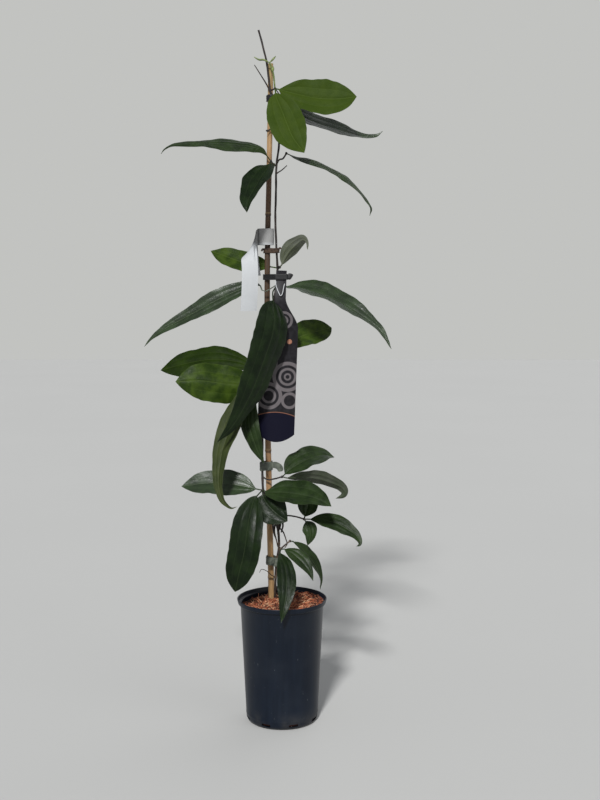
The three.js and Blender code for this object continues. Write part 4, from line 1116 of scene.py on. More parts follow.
# %% The list of leaflets
Leaflet = namedtuple("Leaflet", "name shade joint stalk width widest base tip face twist fold rib")
LEAFLETS = [
    Leaflet("crown_leaf_upper", "young", "crown", 4, 55, 0.55, 2.4, 3, (0, -0.93, 0.35), 0, 8, [
        (6.5, 3, 900), (26, 1.5, 895), (51, 0, 890), (78, -1, 889), (105, -1, 892)]),
    Leaflet("crown_leaf_middle", "young", "crown", 7, 50, 0.5, 2.6, 2.7, (-0.1, -0.97, 0.2), 0, 8, [
        (-6, -3, 889), (2, -12, 869), (9, -22, 850), (17, -32, 831), (32, -43, 810)]),
    Leaflet("crown_leaf_lower", "waxy", "crown", 12, 36, 0.42, 2.6, 1.4, (0, -0.56, 0.83), -10, 8, [
        (14, 20, 878), (45, 30, 863), (80, 42, 854), (115, 54, 846), (135, 60, 847), (146, 62, 854)]),
    Leaflet("second_leaf_left", "dark", "second", 7, 30, 0.4, 3, 1.4, (0, -0.5, 0.87), 26, -12, [
        (-27, 9, 820), (-41, 7, 825), (-58, 4, 827), (-78, -2, 828), (-106, -10, 828), (-130, -18, 826),
        (-148, -26, 823), (-159, -30, 817), (-164, -32, 810)]),
    Leaflet("second_leaf_right", "dark", "knob", 3, 26, 0.35, 2.4, 1.4, (-0.1, -0.38, 0.92), -14, -8, [
        (21, 2, 809), (35, -3, 805), (57, -9, 797), (78, -14, 786), (95, -20, 773), (110, -27, 758),
        (121, -33, 742), (124, -35, 734), (122, -35, 726)]),
    Leaflet("second_leaf_front", "deep", "second", 5, 46, 0.38, 3, 1.7, (-0.35, -0.85, 0.4), 0, 10, [
        (-18, -1, 796), (-28, -14, 780), (-38, -30, 761), (-45, -43, 745), (-46, -54, 729)]),
    Leaflet("third_leaf_left", "bright", "third", 10, 34, 0.5, 3, 2.4, (0, -0.85, 0.5), 0, 8, [
        (-23, 36, 659), (-43, 41, 662), (-64, 48, 667), (-83, 57, 674), (-105, 68, 682)]),
    Leaflet("third_leaf_raised", "olive", "raised", 3, 26, 0.42, 2.4, 1.5, (-0.35, 0.86, 0.35), 0, 12, [
        (0.5, 15.5, 661), (4.5, 14, 669), (11, 11, 679), (20, 7, 688), (28, 1, 694), (33, -5, 694),
        (36, -8, 689), (37, -9, 681)]),
    Leaflet("fourth_leaf_left", "waxy", "fourth", 32, 30, 0.36, 2.6, 1.4, (-0.42, -0.22, 0.88), 0, 10, [
        (-25, 10, 622), (-31, 12, 631), (-42, 14, 632), (-55, 15, 627), (-77, 18, 618), (-101, 21, 606),
        (-121, 24, 595), (-142, 28, 584), (-171, 32, 568), (-190, 35, 554), (-200, 36, 543)]),
    Leaflet("fourth_leaf_right", "waxy", "fourth", 12, 45, 0.32, 2.6, 1.35, (0.38, -0.66, 0.65), 0, 8, [
        (9, 4, 629), (30, -5, 627), (51, -16, 621), (71, -27, 613), (90, -38, 603), (109, -48, 591),
        (124, -55, 580), (137, -59, 568), (151, -61, 544)]),
    Leaflet("fourth_leaf_front", "deep", "fourth", 38, 56, 0.32, 5, 1.7, (0.3, -0.95, 0.1), 0, -22, [
        (-12, 4, 623), (-12, -12, 613), (-10.5, -24, 600), (-9.5, -32, 583), (-12.5, -37, 561),
        (-20, -41, 538), (-30, -45, 510), (-41, -48, 483), (-54, -50, 458), (-69, -52, 435),
        (-89, -53, 414)]),
    Leaflet("fifth_leaf_upper", "shaded", "fifth_left", 5, 46, 0.5, 2.2, 3.2, (0, -0.85, 0.5), 0, -8, [
        (-61, 32, 520), (-102, 40, 524), (-143, 48, 517), (-179, 54, 507)]),
    Leaflet("fifth_leaf_lower", "bright", "fifth_middle", 9, 57, 0.55, 2.2, 3, (0, -0.97, 0.2), 0, -14, [
        (-20, 10, 488), (-48, 2, 489), (-81, -6, 492), (-115, -14, 497), (-149, -20, 496)]),
    Leaflet("fifth_leaf_right", "bright", "fifth_right", 6, 42, 0.6, 2.4, 3.4, (0.1, -0.85, 0.5), 0, 8, [
        (8, 24, 548), (35, 46, 560), (73, 66, 569)]),
    Leaflet("sixth_leaf_long", "olive", "sixth", 12, 38, 0.34, 2.0, 1.15, (-0.45, -0.85, 0.3), 0, 10, [
        (-44, -8, 496), (-51, -13, 479), (-60, -18, 459), (-70, -22, 436), (-77, -26, 418),
        (-83, -30, 400), (-86, -34, 383), (-88, -39, 365), (-87, -42, 348), (-83, -44, 333),
        (-77, -44, 325), (-70, -43, 320), (-62, -43, 322)]),
    Leaflet("sixth_leaf_short", "dark", "sixth", 20, 28, 0.5, 2.0, 1.7, (-0.3, -0.9, 0.1), 0, -14, [
        (-38, -2, 490), (-44, -10, 462), (-46, -14, 436), (-40, -16, 414), (-33, -15, 395),
        (-25, -13, 379)]),
    Leaflet("seventh_leaf_left", "waxy", "seventh", 7, 42, 0.45, 3, 2.8, (0, -0.8, 0.6), 0, 8, [
        (-46, 3, 341), (-63, 6, 344), (-87, 11, 346), (-113, 17, 345), (-147, 25, 339)]),
    Leaflet("seventh_leaf_right", "dark", "seventh", 5, 47, 0.45, 2.6, 2.0, (0.1, -0.78, 0.62), 0, 8, [
        (-17, -6, 336), (3, -14, 337), (26, -24, 336), (49, -36, 333), (70, -50, 324)]),
    Leaflet("seventh_leaf_under", "deep", "seventh", 5, 46, 0.4, 3, 2.4, (-0.2, -0.95, 0.25), 0, 8, [
        (-26, -2, 327), (-19.5, -8, 318), (-11, -13.5, 310), (-1.5, -18.5, 303), (8.5, -22, 297)]),
    Leaflet("seventh_leaf_front", "deep", "seventh", 9, 47, 0.45, 2.6, 4, (-0.2, -0.95, 0.25), 0, 8, [
        (-40, -5, 324), (-45, -18, 307), (-49, -29, 283), (-53, -36, 254), (-60, -38, 226),
        (-66, -35, 198)]),
    Leaflet("eighth_leaf_upper", "dark", "eighth", 4, 43, 0.45, 3.2, 2.6, (-0.1, -0.6, 0.8), 0, 10, [
        (12, 13, 366), (26, 21, 374), (45, 32, 381), (62, 43, 383), (77, 52, 378)]),
    Leaflet("eighth_leaf_lower", "dark", "eighth", 5, 28, 0.42, 2.4, 1.7, (0, 0.75, 0.65), 0, 8, [
        (9, 10, 354), (29, 18, 354), (50, 27, 351), (69, 36, 344), (85, 43, 336), (92, 46, 328),
        (90, 47, 321), (79, 47, 317)]),
    Leaflet("ninth_leaf_upper", "dark", "ninth", 2, 30, 0.4, 2.6, 1.9, (0, -0.9, 0.4), 0, 8, [
        (34, 10, 300), (37, 16, 310), (39, 22, 321), (40, 28, 336)]),
    Leaflet("ninth_leaf_hanging", "dark", "ninth", 2, 22, 0.36, 2.4, 1.4, (0.1, -0.97, 0.1), 0, 10, [
        (36, 6, 289), (40, 3, 281), (41, 0, 271), (37, -2, 257)]),
    Leaflet("ninth_leaf_right", "dark", "ninth", 7, 27, 0.42, 2.4, 1.45, (0.1, -0.7, 0.7), 0, 8, [
        (40, 7, 294), (58, 2, 294), (78, -6, 291), (93, -13, 284), (105, -19, 277), (111, -23, 269),
        (111, -26, 264), (106, -28, 262)]),
    Leaflet("tenth_leaf_right", "dark", "tenth_right", 3, 22, 0.4, 2.2, 1.35, (0.3, -0.6, 0.7), 0, 12, [
        (17, 1, 262), (27, 3, 254), (38, 7, 241), (47, 11, 228), (54, 14, 214), (57, 15, 202),
        (56, 16, 188)]),
    Leaflet("tenth_leaf_middle", "dark", "tenth", 6, 25, 0.42, 2.2, 1.5, (0.3, -0.6, 0.7), 0, 12, [
        (5, -8, 253), (16, -15, 248), (29, -22, 238), (39, -28, 226), (45, -32, 213)]),
    Leaflet("tenth_leaf_front", "deep", "tenth", 9, 28, 0.46, 2.2, 1.6, (0, -0.75, 0.66), 0, 8, [
        (-2, -16, 248), (3.5, -32, 239), (7, -48, 223), (6.7, -62, 204), (4, -73, 186), (0, -79, 166)]),
]

print(len(LEAFLETS), "leaflets, the widest", max(spec.width for spec in LEAFLETS), "mm")

# %% [markdown]
# ## Outline and rows of a blade
# A flat leaf shape that a modifier bends would lose its width in tight bends. These blades are built
# row by row along the rib instead. The outline gives the width of each row, and rows and columns are
# closest where the form turns most.

# %% Outline, rows and facing
HALF_COLUMNS = [0.0, 0.03, 0.08, 0.17, 0.29, 0.40, 0.46, SIDE_VEIN, 0.54, 0.62, 0.73, 0.84, 0.92, 0.97, 1.0]
COLUMNS = np.array([-share for share in HALF_COLUMNS[:0:-1]] + HALF_COLUMNS)
ROW_STEP = 2.2
FRAME_ROW_STEP = 18
BUNCHED = 0.65


def blade_outline(along, spec):
    """Half of the width as a share of the widest place. A higher power makes that end fuller."""
    before = np.clip((spec.widest - along) / spec.widest, 0, 1)
    after = np.clip((along - spec.widest) / (1 - spec.widest), 0, 1)
    return 1 - before**spec.base - after**spec.tip


def blade_rows(length, stalk, even):
    """Distances along the blade, closer together at both its ends."""
    bunched = 0.5 - 0.5 * np.cos(pi * even)
    return stalk + (length - stalk) * (BUNCHED * bunched + (1 - BUNCHED) * even)


def frame_stations(length, stalk):
    """The rows of the plain solid, where the blade's facing is worked out."""
    count = max(8, round((length - stalk) / FRAME_ROW_STEP) + 3)
    return np.concatenate([[0, stalk / 2], blade_rows(length, stalk, np.arange(count + 1) / count)])


def leaf_rows(length, stalk):
    """The rows of the fine blade: a few on the stalk, then the blade's."""
    count = int((length - stalk) / ROW_STEP) + 14
    on_stalk = np.linspace(0, stalk, 6)[:-1]
    return np.concatenate([on_stalk, blade_rows(length, stalk, np.linspace(0, 1, count))])


def leaf_facing(rib, length, spec, distance):
    """The way the blade looks at each row, blended between the rows of the plain solid."""
    stations = frame_stations(length, spec.stalk)
    normals = carried_along(along_route(rib, stations)[1], np.array(spec.face, float))
    blended = np.stack([np.interp(distance, stations, normals[:, axis]) for axis in range(3)], axis=1)
    direction = along_route(rib, distance)[1]
    blended = blended - direction * (blended * direction).sum(axis=1, keepdims=True)
    return unit(blended)


print(len(COLUMNS), "columns across a blade,", len(leaf_rows(200, 10)), "rows on a 200 mm leaflet")

# %% [markdown]
# ## Relief of a blade
# The plain solid has no room for the vein grooves, the soft ripples between them and the uneven edge.
# They could be bump in the material, but then the outline and the light on a bent leaf stay too
# smooth, so they are heights in the mesh. Each leaflet has a seed that shifts its ripples.

# %% Relief of a blade
def leaf_relief(share, along, distance, half, seed):
    """Height of the veins' grooves, of the ripples between them and of the uneven edge, in mm."""
    reach = np.abs(share)
    blade = np.clip(along / 0.06, 0, 1) * np.clip((1 - along) / 0.05, 0, 1)
    midrib = -0.55 * np.exp(-((reach * half / 1.4) ** 2))
    side_vein = -0.32 * np.exp(-(((reach - SIDE_VEIN) * half / 1.3) ** 2)) * (1 - along)
    between = np.abs(np.sin(pi * reach / SIDE_VEIN))
    pillow = 0.026 * half * between * (1 - 0.5 * along)
    slant = distance - reach * half * 0.9
    ripple = 0.16 * np.sin(slant / 1.9 + seed) * np.sin(slant / 6.3 + 2 * seed + np.sign(share))
    swell = 0.35 * np.sin(distance / 9.5 + seed + 2 * np.sign(share)) * reach
    edge = 0.35 * np.sin(distance / 3.4 + 3 * seed + np.sign(share)) * reach**5
    edge = edge * (0.6 + 0.4 * np.sin(distance / 11 + seed))
    return blade * (midrib + side_vein + pillow + between * ripple + swell + edge)


# %% [markdown]
# ## Two sides and a rim
# Leaflets, tag, label and loose ends are all thin sheets with two sides. One function closes any two
# grids of points at the rim, and another notes three numbers at each point for the finishes.

# %% Close a sheet
def closed_sheet(top, below):
    """Joins the upper and the lower grid of points at their rim."""
    rows, columns = top.shape[:2]
    count = rows * columns
    faces = grid_faces(rows, columns)
    faces = [face[::-1] for face in faces] + [[i + count for i in face] for face in faces]
    rim = [*range(columns), *range(2 * columns - 1, count, columns)]
    rim += [*range(count - 2, count - columns - 1, -1), *range(count - 2 * columns, 0, -columns)]
    for here, after in zip(rim, rim[1:] + rim[:1]):
        faces.append([here, after, after + count, here + count])
    return np.vstack([top.reshape(-1, 3), below.reshape(-1, 3)]), faces


def sheet_notes(across, down, upper, lower):
    """Three numbers for each point: two that both sides share, and one for its own side."""
    sides = [np.dstack([across, down, np.full_like(across, value)]) for value in (upper, lower)]
    return np.vstack([side.reshape(-1, 3) for side in sides])


# %% [markdown]
# ## One leaflet
# The blade is folded along its midrib and waved at its edges, as the plain solid is, and then takes
# the relief. A real blade is under half a millimetre thick. This one keeps the solid's 0.8 mm at the
# midrib and thins towards its rim, and its stalk is round.

# %% One leaflet
BLADE = 0.8
STALK_WIDTH = 1.9
STALK_THICKNESS = 1.5
TIP_WIDTH = 1.0
STALK_BLEND = 0.08
CUP_POWER = 1.4
WAVE_COUNT = 2.5
WAVE_SHARE = 0.035
WAVE_OFFSET = 1.3
CREASE = 3
DEEP_CREASES = {
    "fourth_leaf_front": 13,
    "fourth_leaf_right": 9,
    "seventh_leaf_front": 9,
    "second_leaf_front": 8,
}


def leaflet(spec, seed):
    joint = np.array(STALK_ROUTES[spec.joint][-1], float)
    outwards = unit(np.array(spec.rib[0], float) - joint)
    rib = [tuple(joint + outwards * JOINT_RADIUS), *spec.rib]
    length = dense_route(rib)[1][-1]
    distance = leaf_rows(length, spec.stalk)
    middle, direction = along_route(rib, distance)
    normal = leaf_facing(rib, length, spec, distance)
    turn = (radians(spec.twist) * distance / length)[:, None]
    up = normal * np.cos(turn) + np.cross(direction, normal) * np.sin(turn)
    side = np.cross(direction, up)
    along = np.clip((distance - spec.stalk) / (length - spec.stalk), 0, 1)
    least = np.where(along > 0.5, TIP_WIDTH * (1.4 - along), STALK_WIDTH)
    half = np.maximum(spec.width * blade_outline(along, spec), least) / 2
    opened = np.clip(along / STALK_BLEND, 0, 1)

    share = np.tile(COLUMNS, (len(distance), 1))
    reach = np.abs(share)
    along, distance, half, opened = (
        np.repeat(values[:, None], len(COLUMNS), axis=1) for values in (along, distance, half, opened))
    fold = radians(spec.fold + DEEP_CREASES.get(spec.name, CREASE))
    phase = 2 * pi * WAVE_COUNT * along + WAVE_OFFSET * np.sign(share)
    wave = WAVE_SHARE * np.sin(phase) * 4 * along * (1 - along)
    lift = half * (np.sin(fold) * reach**CUP_POWER + 2 * wave * reach**2) * opened
    lift = lift + leaf_relief(share, along, distance, half, seed)
    ragged = 1 + 0.012 * np.sin(distance / 2.7 + seed) * reach**3 * opened
    across = share * half * np.cos(fold * opened) * ragged
    sheet = middle[:, None] + side[:, None] * across[..., None] + up[:, None] * lift[..., None]

    round_stalk = STALK_THICKNESS * np.sqrt(1 - 0.92 * reach**2)
    flat_blade = BLADE * (1 - 0.45 * reach**3)
    below_vein = 0.55 * np.exp(-((reach * half / 0.9) ** 2)) * (1 - along)
    thickness = round_stalk * (1 - opened) + flat_blade * opened
    top = sheet + up[:, None] * (thickness / 2)[..., None]
    below = sheet - up[:, None] * (thickness / 2 + below_vein * opened)[..., None]
    notes = {
        "leaf_share": sheet_notes(share, along, 1, 0),
        "leaf_mm": sheet_notes(share * half, distance, half, half),
    }
    return *closed_sheet(top, below), notes


# %% All the leaflets
for number, spec in enumerate(LEAFLETS):
    leaf_points, leaf_faces, leaf_notes = leaflet(spec, 1.7 * number)
    make_piece(spec.name + "_blade", leaf_points, leaf_faces, LEAF_FINISHES[spec.shade],
               [spec.name], leaf_notes)

# %% [markdown]
# ## A dry leaf
# Among the stubs on the lower stem hangs one small leaf that dried and curled up. It is made as the
# others are, with a sharp fold and a strong twist, and takes the stem's finish. It is trim without a
# solid of its own.

# %% A dry leaf
dry_leaf = Leaflet("dry_leaf", None, "seventh", 3, 15, 0.45, 2.4, 2.0, (0.5, -0.8, 0.2), 70, 34, [
    (-13, 10, 312), (-8, 7, 303), (-4, 6.5, 292), (-4, 8, 280), (-7, 9, 272)])
dry_points, dry_faces, dry_notes = leaflet(dry_leaf, 4.0)
make_piece("dry_leaf_blade", dry_points, dry_faces, STEM_BARK, [], dry_notes)

# %% [markdown]
# ## Ties and strap
# Each tie is drawn tight round what it holds, so from above it is the convex outline of a few
# circles. A rounded section is carried round that outline. A bent cylinder would stand off the cane
# in places, and this band lies on it everywhere. A crumpled edge makes the soft ties look tied by
# hand.

# %% Band sizes
BAND_GAP = 0.6
BAND_POINTS = 120
BAND_ROUND = 0.45
Band = namedtuple("Band", "name low high thickness crumple finish slot circles")
BANDS = [
    Band("tie_crown", 889, 897.5, 1.2, 0.45, BLACK_TIE, "black_tie",
         [(-15.7, 20.9, 3.85), (-14.2, 14.4, 2.6)]),
    Band("tie_wire", 848, 849.6, 1.0, 0.05, BLACK_TIE, "black_tie",
         [(-16.5, 21.6, 4.1), (-5.9, 11.4, 2.4)]),
    Band("tie_brown", 677, 684, 1.0, 0.35, BROWN_TIE, "brown_tie",
         [(-20.3, 24, 4.4), (-7.1, 17.4, 2.6)]),
    Band("tie_tape_upper", 363, 376, 1.0, 0.45, GREY_TAPE, "grey_tape",
         [(-19.8, 28, 4.6), (-28.6, 20.1, 2.2)]),
    Band("tie_tape_lower", 222, 235, 1.0, 0.45, GREY_TAPE, "grey_tape",
         [(-17.2, 29.3, 5.2), (-7.6, 19.4, 3.4)]),
    Band("label_strap", 639, 647, 1.1, 0.08, BLACK_TIE, "black_tie",
         [(-20.7, 24.3, 4.6), (-6.4, 20.9, 2.3), (-7.6, 3.6, 1.3), (7, 3.6, 1.3)]),
]
print(len(BANDS), "bands, the tallest", max(band.high - band.low for band in BANDS), "mm")

# %% One band
def tight_outline(circles):
    """Points and outward normals of a loop drawn tight round the circles."""
    turns = np.linspace(0, 2 * pi, BAND_POINTS, endpoint=False)
    normals = np.column_stack([np.cos(turns), np.sin(turns)])
    centres = np.array([circle[:2] for circle in circles])
    radii = np.array([circle[2] for circle in circles])
    reach = normals @ centres.T + radii
    chosen = reach.argmax(axis=1)
    corners = centres[chosen] + normals * radii[chosen][:, None]
    loop = np.vstack([corners, corners[:1]])
    steps = np.linalg.norm(np.diff(loop, axis=0), axis=1)
    lengths = np.concatenate([[0], np.cumsum(steps)])
    even = np.linspace(0, lengths[-1], BAND_POINTS, endpoint=False)
    points = np.stack([np.interp(even, lengths, loop[:, axis]) for axis in range(2)], axis=1)
    ahead = np.roll(points, -1, axis=0) - np.roll(points, 1, axis=0)
    outward = unit(np.column_stack([ahead[:, 1], -ahead[:, 0]]))
    return points, outward


def band_section(half, tall, edge):
    """The band cut through: a rectangle with rounded corners, as (outwards, up) pairs."""
    levels = np.linspace(-1, 1, 7)[1:-1] * (tall - edge)
    corners = []
    for x, z, start in ((1, -1, -90), (1, 1, 0), (-1, 1, 90), (-1, -1, 180)):
        centre = (x * (half - edge), z * (tall - edge))
        corners.append(arc(centre, edge, start, start + 90, 4))
    outer = [(half, z) for z in levels]
    inner = [(-half, z) for z in levels[::-1]]
    return [*corners[0], *outer, *corners[1], *corners[2], *inner, *corners[3]]


def band_mesh(band):
    """A section carried round the outline."""
    points, outward = tight_outline(band.circles)
    middle = (band.low + band.high) / 2
    tall = (band.high - band.low) / 2
    half = band.thickness / 2
    edge = min(BAND_ROUND, band.thickness * 0.45, tall * 0.45)
    section = band_section(half, tall, edge)
    around = np.linspace(0, 2 * pi, BAND_POINTS, endpoint=False)
    rings = []
    for offset, level in section:
        ripple = np.sin(level * 1.7 + 3 * np.sin(around * 2)) + 0.6 * np.sin(around * 9 + level)
        sag = band.crumple * 0.5 * np.sin(around * 3 + 1)
        out = BAND_GAP + half + offset + 0.5 * band.crumple * ripple * (offset > 0)
        rings.append(np.column_stack([points + outward * out[:, None], middle + level + sag]))
    size = len(section)
    last = (BAND_POINTS - 1) * size
    faces = grid_faces(BAND_POINTS, size, wrap=True)
    faces += [[last + k, last + (k + 1) % size, (k + 1) % size, k] for k in range(size)]
    return np.array(rings).transpose(1, 0, 2), faces


# %% [markdown]
# ## Loose ends
# A knotted tie has ends that stick out. Each is a short flat strip along a route of its own, with
# rounded corners, and it is piled into the mesh of its band.

# %% Loose ends and all the bands
END_ROWS = 24
END_COLUMNS = 9
END_WAVER = 0.4
LooseEnd = namedtuple("LooseEnd", "width thickness facing route")
LOOSE_ENDS = {
    "tie_crown": [LooseEnd(5.0, 0.9, (0, -1, 0), [
        (-8.5, 12.5, 894), (-6.2, 11.2, 895.5), (-4.6, 10.8, 892), (-5.4, 11.5, 888.5)])],
    "tie_brown": [
        LooseEnd(2.6, 0.8, (0, -1, 0), [(-4.4, 13.6, 682), (-2.2, 12.4, 684), (-0.6, 12.2, 682.5)]),
        LooseEnd(2.6, 0.8, (0, -1, 0), [(-25.6, 21.6, 683), (-27.6, 19.6, 682), (-28.6, 19.4, 679.5)]),
    ],
    "tie_tape_upper": [LooseEnd(9.5, 0.7, (0.2, -1, 0.2), [
        (-15, 21.4, 371), (-9, 18, 371.5), (-3.4, 15.6, 368.5), (-1.8, 15, 362.5)])],
    "tie_tape_lower": [LooseEnd(9.0, 0.7, (0, -1, 0.2), [
        (-11.5, 14.2, 229.5), (-17, 11.6, 231), (-21, 12.2, 226)])],
    "label_strap": [LooseEnd(9.0, 1.3, (0, -1, 0), [
        (9.2, 2.6, 643.5), (12.2, 2.4, 643.5), (14.6, 3.0, 642)])],
}


def strip(end):
    """A flat strip with rounded corners along a route. facing is the way its flat side looks."""
    length = dense_route(end.route)[1][-1]
    distance = np.linspace(0, length, END_ROWS)
    middle, direction = along_route(end.route, distance)
    up = carried_along(direction, np.array(end.facing, float))
    side = np.cross(direction, up)
    columns = np.linspace(-1, 1, END_COLUMNS)
    rounded = np.sqrt(np.clip(1 - (2 * distance / length - 1) ** 8, 0.15, 1))[:, None]
    wave = END_WAVER * np.sin(distance / length * 7)[:, None] * columns
    sheet = middle[:, None] + side[:, None] * (columns * rounded * end.width / 2)[..., None]
    sheet = sheet + up[:, None] * wave[..., None]
    half = (end.thickness / 2 * (1 - 0.5 * columns**4))[None, :, None]
    return closed_sheet(sheet + up[:, None] * half, sheet - up[:, None] * half)


for band in BANDS:
    pile = Pile()
    pile.put(*band_mesh(band))
    for loose_end in LOOSE_ENDS.get(band.name, []):
        pile.put(*strip(loose_end))
    make_piece(band.name + "_band", pile.all_points(), pile.faces, band.finish, [band.name])

# %% [markdown]
# ## Picture label
# The label is a thin plastic plate with a neck. It hangs from the strap, bends forwards to clear the
# stem, and is slightly bowed across. A flat plate with a bend modifier would do, but its print needs
# measures that follow the bend. So its rows run down from the top, and each point notes how far
# across and down the label it lies.

# %% Label
LABEL_WIDTH = 53
LABEL_NECK = 15
LABEL_TOP = 652
LABEL_CORNER = 419
LABEL_EDGE_DROP = 11
LABEL_SHOULDER = (38, 82)
LABEL_THICKNESS = 0.9
LABEL_TILT = radians(2.1)
LABEL_BACK = 4.5
LABEL_FRONT = -4
LABEL_BEND = 50
LABEL_BOW = 5
LABEL_ROWS = 90
LABEL_COLUMNS = 25


def smooth_step(value, low, high):
    share = np.clip((value - low) / (high - low), 0, 1)
    return share * share * (3 - 2 * share)


def picture_label():
    share = np.tile(np.sin(np.linspace(-pi / 2, pi / 2, LABEL_COLUMNS)), (LABEL_ROWS, 1))
    full = LABEL_TOP - LABEL_CORNER + LABEL_EDGE_DROP * (1 - share**2)
    drop = full * np.linspace(0, 1, LABEL_ROWS)[:, None]
    width = LABEL_NECK + (LABEL_WIDTH - LABEL_NECK) * smooth_step(drop, *LABEL_SHOULDER)
    across = share * width / 2
    bow = LABEL_BOW * (across / (LABEL_WIDTH / 2)) ** 2
    warp = 0.5 * np.sin(drop / 38) * across / 20
    middle = np.stack([
        across * cos(LABEL_TILT) - drop * sin(LABEL_TILT),
        LABEL_BACK + (LABEL_FRONT - LABEL_BACK) * smooth_step(drop, 0, LABEL_BEND) + bow + warp,
        LABEL_TOP - drop * cos(LABEL_TILT) - across * sin(LABEL_TILT),
    ], axis=-1)
    half = np.array([0, LABEL_THICKNESS / 2, 0])
    points, faces = closed_sheet(middle - half, middle + half)
    return points, faces, {"label_mm": sheet_notes(across, drop, 1, 0)}


label_points, label_faces, label_notes = picture_label()
make_piece("picture_label_plate", label_points, label_faces, LABEL_PRINT,
           ["picture_label"], label_notes)

# %% [markdown]
# ## Label hook
# A small white wire hook holds the label's neck to the strap. It is thin trim without a solid of its
# own, and a bent tube of even thickness does for it.

# %% Hook
HOOK_RADIUS = 0.65
HOOK_ROUTE = [
    (-8, 1.0, 637), (-7.5, -1.5, 630), (-3, -4.8, 619), (-1, -5.4, 616.5), (1.5, -4.8, 620),
    (3.5, -2.5, 630), (4.5, 0.5, 633),
]
hook_points, hook_faces = tube(HOOK_ROUTE, lambda distance, angle: HOOK_RADIUS, 10, 0.8)
make_piece("label_hook", hook_points, hook_faces, PAPER)

# %% [markdown]
# ## Paper tag
# A strip of white coated paper is looped round the cane, and both its ends hang down, a long one in
# front and a shorter one at the side. Paper bends one way only, so each end turns from upright to
# hanging as it leaves the loop. A cloth simulation would crumple it. Three routes joined end to end,
# with the way across given at each row, keep it flat and true to its length.

# %% Tag
TAG_WIDTH = 23
TAG_THICKNESS = 0.5
TAG_LOOP_CENTRE = (-22.3, 20.4, 700)
TAG_LOOP_RADII = (11.4, 8.6)
TAG_LOOP_START = 0.25
TAG_FRONT_END = [
    (-46, -11, 595), (-44.5, -9.5, 624), (-44, -7, 652), (-45, -3, 668), (-44.5, 6, 680),
    (-41, 15, 690), (-37, 20.5, 696),
]
TAG_SIDE_END = [(-35.5, 13.5, 697), (-37, 9.5, 689), (-36.5, 8, 677), (-35, 8, 662), (-33, 8.5, 645)]
TAG_FRONT_ACROSS = (1, 0.15)
TAG_SIDE_ACROSS = (0.2, 0.98)
TAG_TURN_SHARE = 4 / 11
TAG_ROWS = 60


def tag_end(route, across, from_loop):
    """An end of the strip, turned from upright at the loop to hanging."""
    length = dense_route(route)[1][-1]
    middle, _ = along_route(route, np.linspace(0, length, TAG_ROWS))
    turned = np.clip(from_loop / TAG_TURN_SHARE, 0, 1) * pi / 2
    return middle, unit(np.column_stack([
        across[0] * np.sin(turned), across[1] * np.sin(turned), np.cos(turned)]))


def paper_tag():
    turned = np.linspace(TAG_LOOP_START, 2 * pi - TAG_LOOP_START, TAG_ROWS)
    loop = np.column_stack([
        TAG_LOOP_CENTRE[0] - TAG_LOOP_RADII[0] * np.cos(turned),
        TAG_LOOP_CENTRE[1] + TAG_LOOP_RADII[1] * np.sin(turned),
        np.full(TAG_ROWS, TAG_LOOP_CENTRE[2]),
    ])
    share = np.linspace(0, 1, TAG_ROWS)
    front, front_across = tag_end(TAG_FRONT_END, TAG_FRONT_ACROSS, 1 - share)
    side, side_across = tag_end(TAG_SIDE_END, TAG_SIDE_ACROSS, share)
    middle = np.vstack([front, loop, side])
    across = np.vstack([front_across, np.tile([0, 0, 1.0], (TAG_ROWS, 1)), side_across])
    up = unit(np.cross(np.gradient(middle, axis=0), across))
    columns = np.linspace(-1, 1, 13)
    curl = 0.35 * columns**2 + 0.25 * np.sin(np.arange(len(middle)) / 9)[:, None] * columns
    sheet = middle[:, None] + across[:, None] * (columns * TAG_WIDTH / 2)[None, :, None]
    sheet = sheet + up[:, None] * curl[..., None]
    half = up[:, None] * TAG_THICKNESS / 2
    return closed_sheet(sheet + half, sheet - half)


tag_points, tag_faces = paper_tag()
make_piece("paper_tag_strip", tag_points, tag_faces, PAPER, ["paper_tag"])

# %% [markdown]
# ## Floor
# A plain pale floor takes the plant's soft shadow. It reaches far behind the plant, so that it meets
# the sky in one tone. It is no part of the object.

# %% Floor
FLOOR_REACH = 9000
FLOOR_CORNERS = ((-1, -1), (1, -1), (1, 1), (-1, 1))


def floor_finish():
    finish = Finish("pale_floor")
    cloud = finish.noise(finish.place(), 1.2, detail=2)
    tone = finish.mix(cloud, (0.490, 0.490, 0.477), (0.515, 0.515, 0.502))
    return finish.done({"Base Color": tone, "Roughness": 0.9})


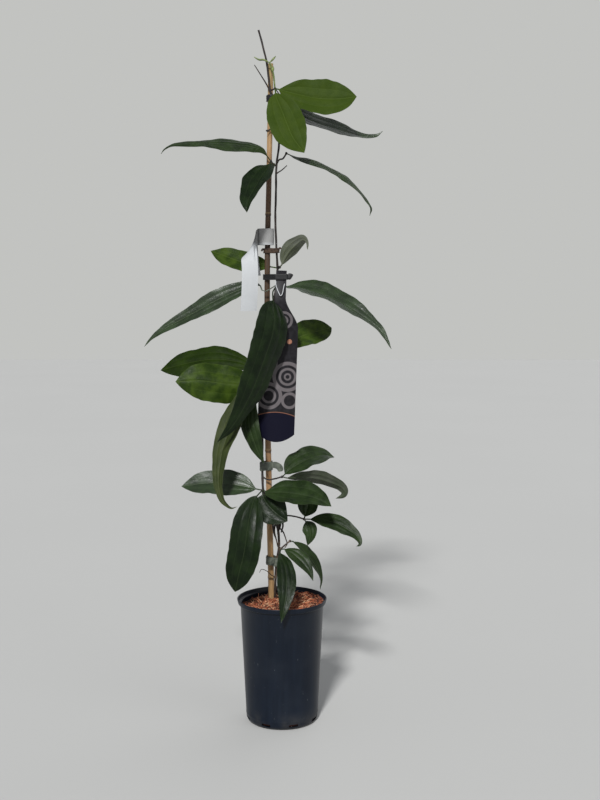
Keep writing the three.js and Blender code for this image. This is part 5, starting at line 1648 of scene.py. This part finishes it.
floor_points = [(x * FLOOR_REACH, y * FLOOR_REACH, 0) for x, y in FLOOR_CORNERS]
floor = add_object("floor", new_mesh("floor", floor_points, [[0, 1, 2, 3]]))
floor.data.materials.append(floor_finish())

# %% [markdown]
# ## Sky
# The sky gives soft light from all sides. What the camera sees of it should be pale, as a studio wall
# is, but as much light as that would wash the leaves out. The Light Path node tells the two apart:
# camera rays get the pale tone, and all others a darker one.

# %% Sky
SKY_SEEN = (0.54, 0.545, 0.53)
SKY_LIGHT = (0.24, 0.25, 0.265)
scene = bpy.context.scene
scene.view_settings.view_transform = "Standard"
sky = Finish("pale_sky", bpy.data.worlds, "Background")
is_seen = sky.add("ShaderNodeLightPath", {}, {}, "Is Camera Ray")
scene.world = sky.done({"Color": sky.mix(is_seen, SKY_LIGHT, SKY_SEEN)})

# %% [markdown]
# ## Light
# Three suns light the plant. The key stands high in front and a little to the left, as the daylight
# does. Two wide, weak ones fill in from the right and from behind. Suns are used, and not area
# lamps, because they light the plant alike wherever the camera goes.

# %% Light
def sun(name, towards, angle, strength):
    """A sun that shines from a direction. Its angle is how soft its shadows are."""
    data = bpy.data.lights.new(name, "SUN")
    data.angle = radians(angle)
    data.energy = strength
    add_object(name, data).rotation_euler = Vector(towards).to_track_quat("Z", "Y").to_euler()
    print(f"{name}: {strength} W/m2, {angle} degrees wide")


sun("key", (-0.14, -0.76, 0.64), 7, 3.4)
sun("side fill", (0.75, -0.5, 0.4), 40, 0.35)
sun("back fill", (0.45, 0.75, 0.5), 60, 0.5)

# %% [markdown]
# ## Camera
# The camera stands a metre and a half in front of the plant, a little above its middle, and looks
# slightly down, so that the rim of the pot is seen as an ellipse. Its lens is near a normal one, and
# it has no shift and no depth of field.

# %% Camera
CAMERA_PLACE = (0.0262, -1.5634, 0.6174)
CAMERA_PITCH = radians(84.55)
CAMERA_LENS = 49.5
camera_data = bpy.data.cameras.new("camera")
camera_data.sensor_width = 36
camera_data.lens = CAMERA_LENS
camera = add_object("camera", camera_data)
camera.location = CAMERA_PLACE
camera.rotation_euler = (CAMERA_PITCH, 0, 0)
scene.camera = camera
print("camera at", CAMERA_PLACE, "with a lens of", CAMERA_LENS, "mm")
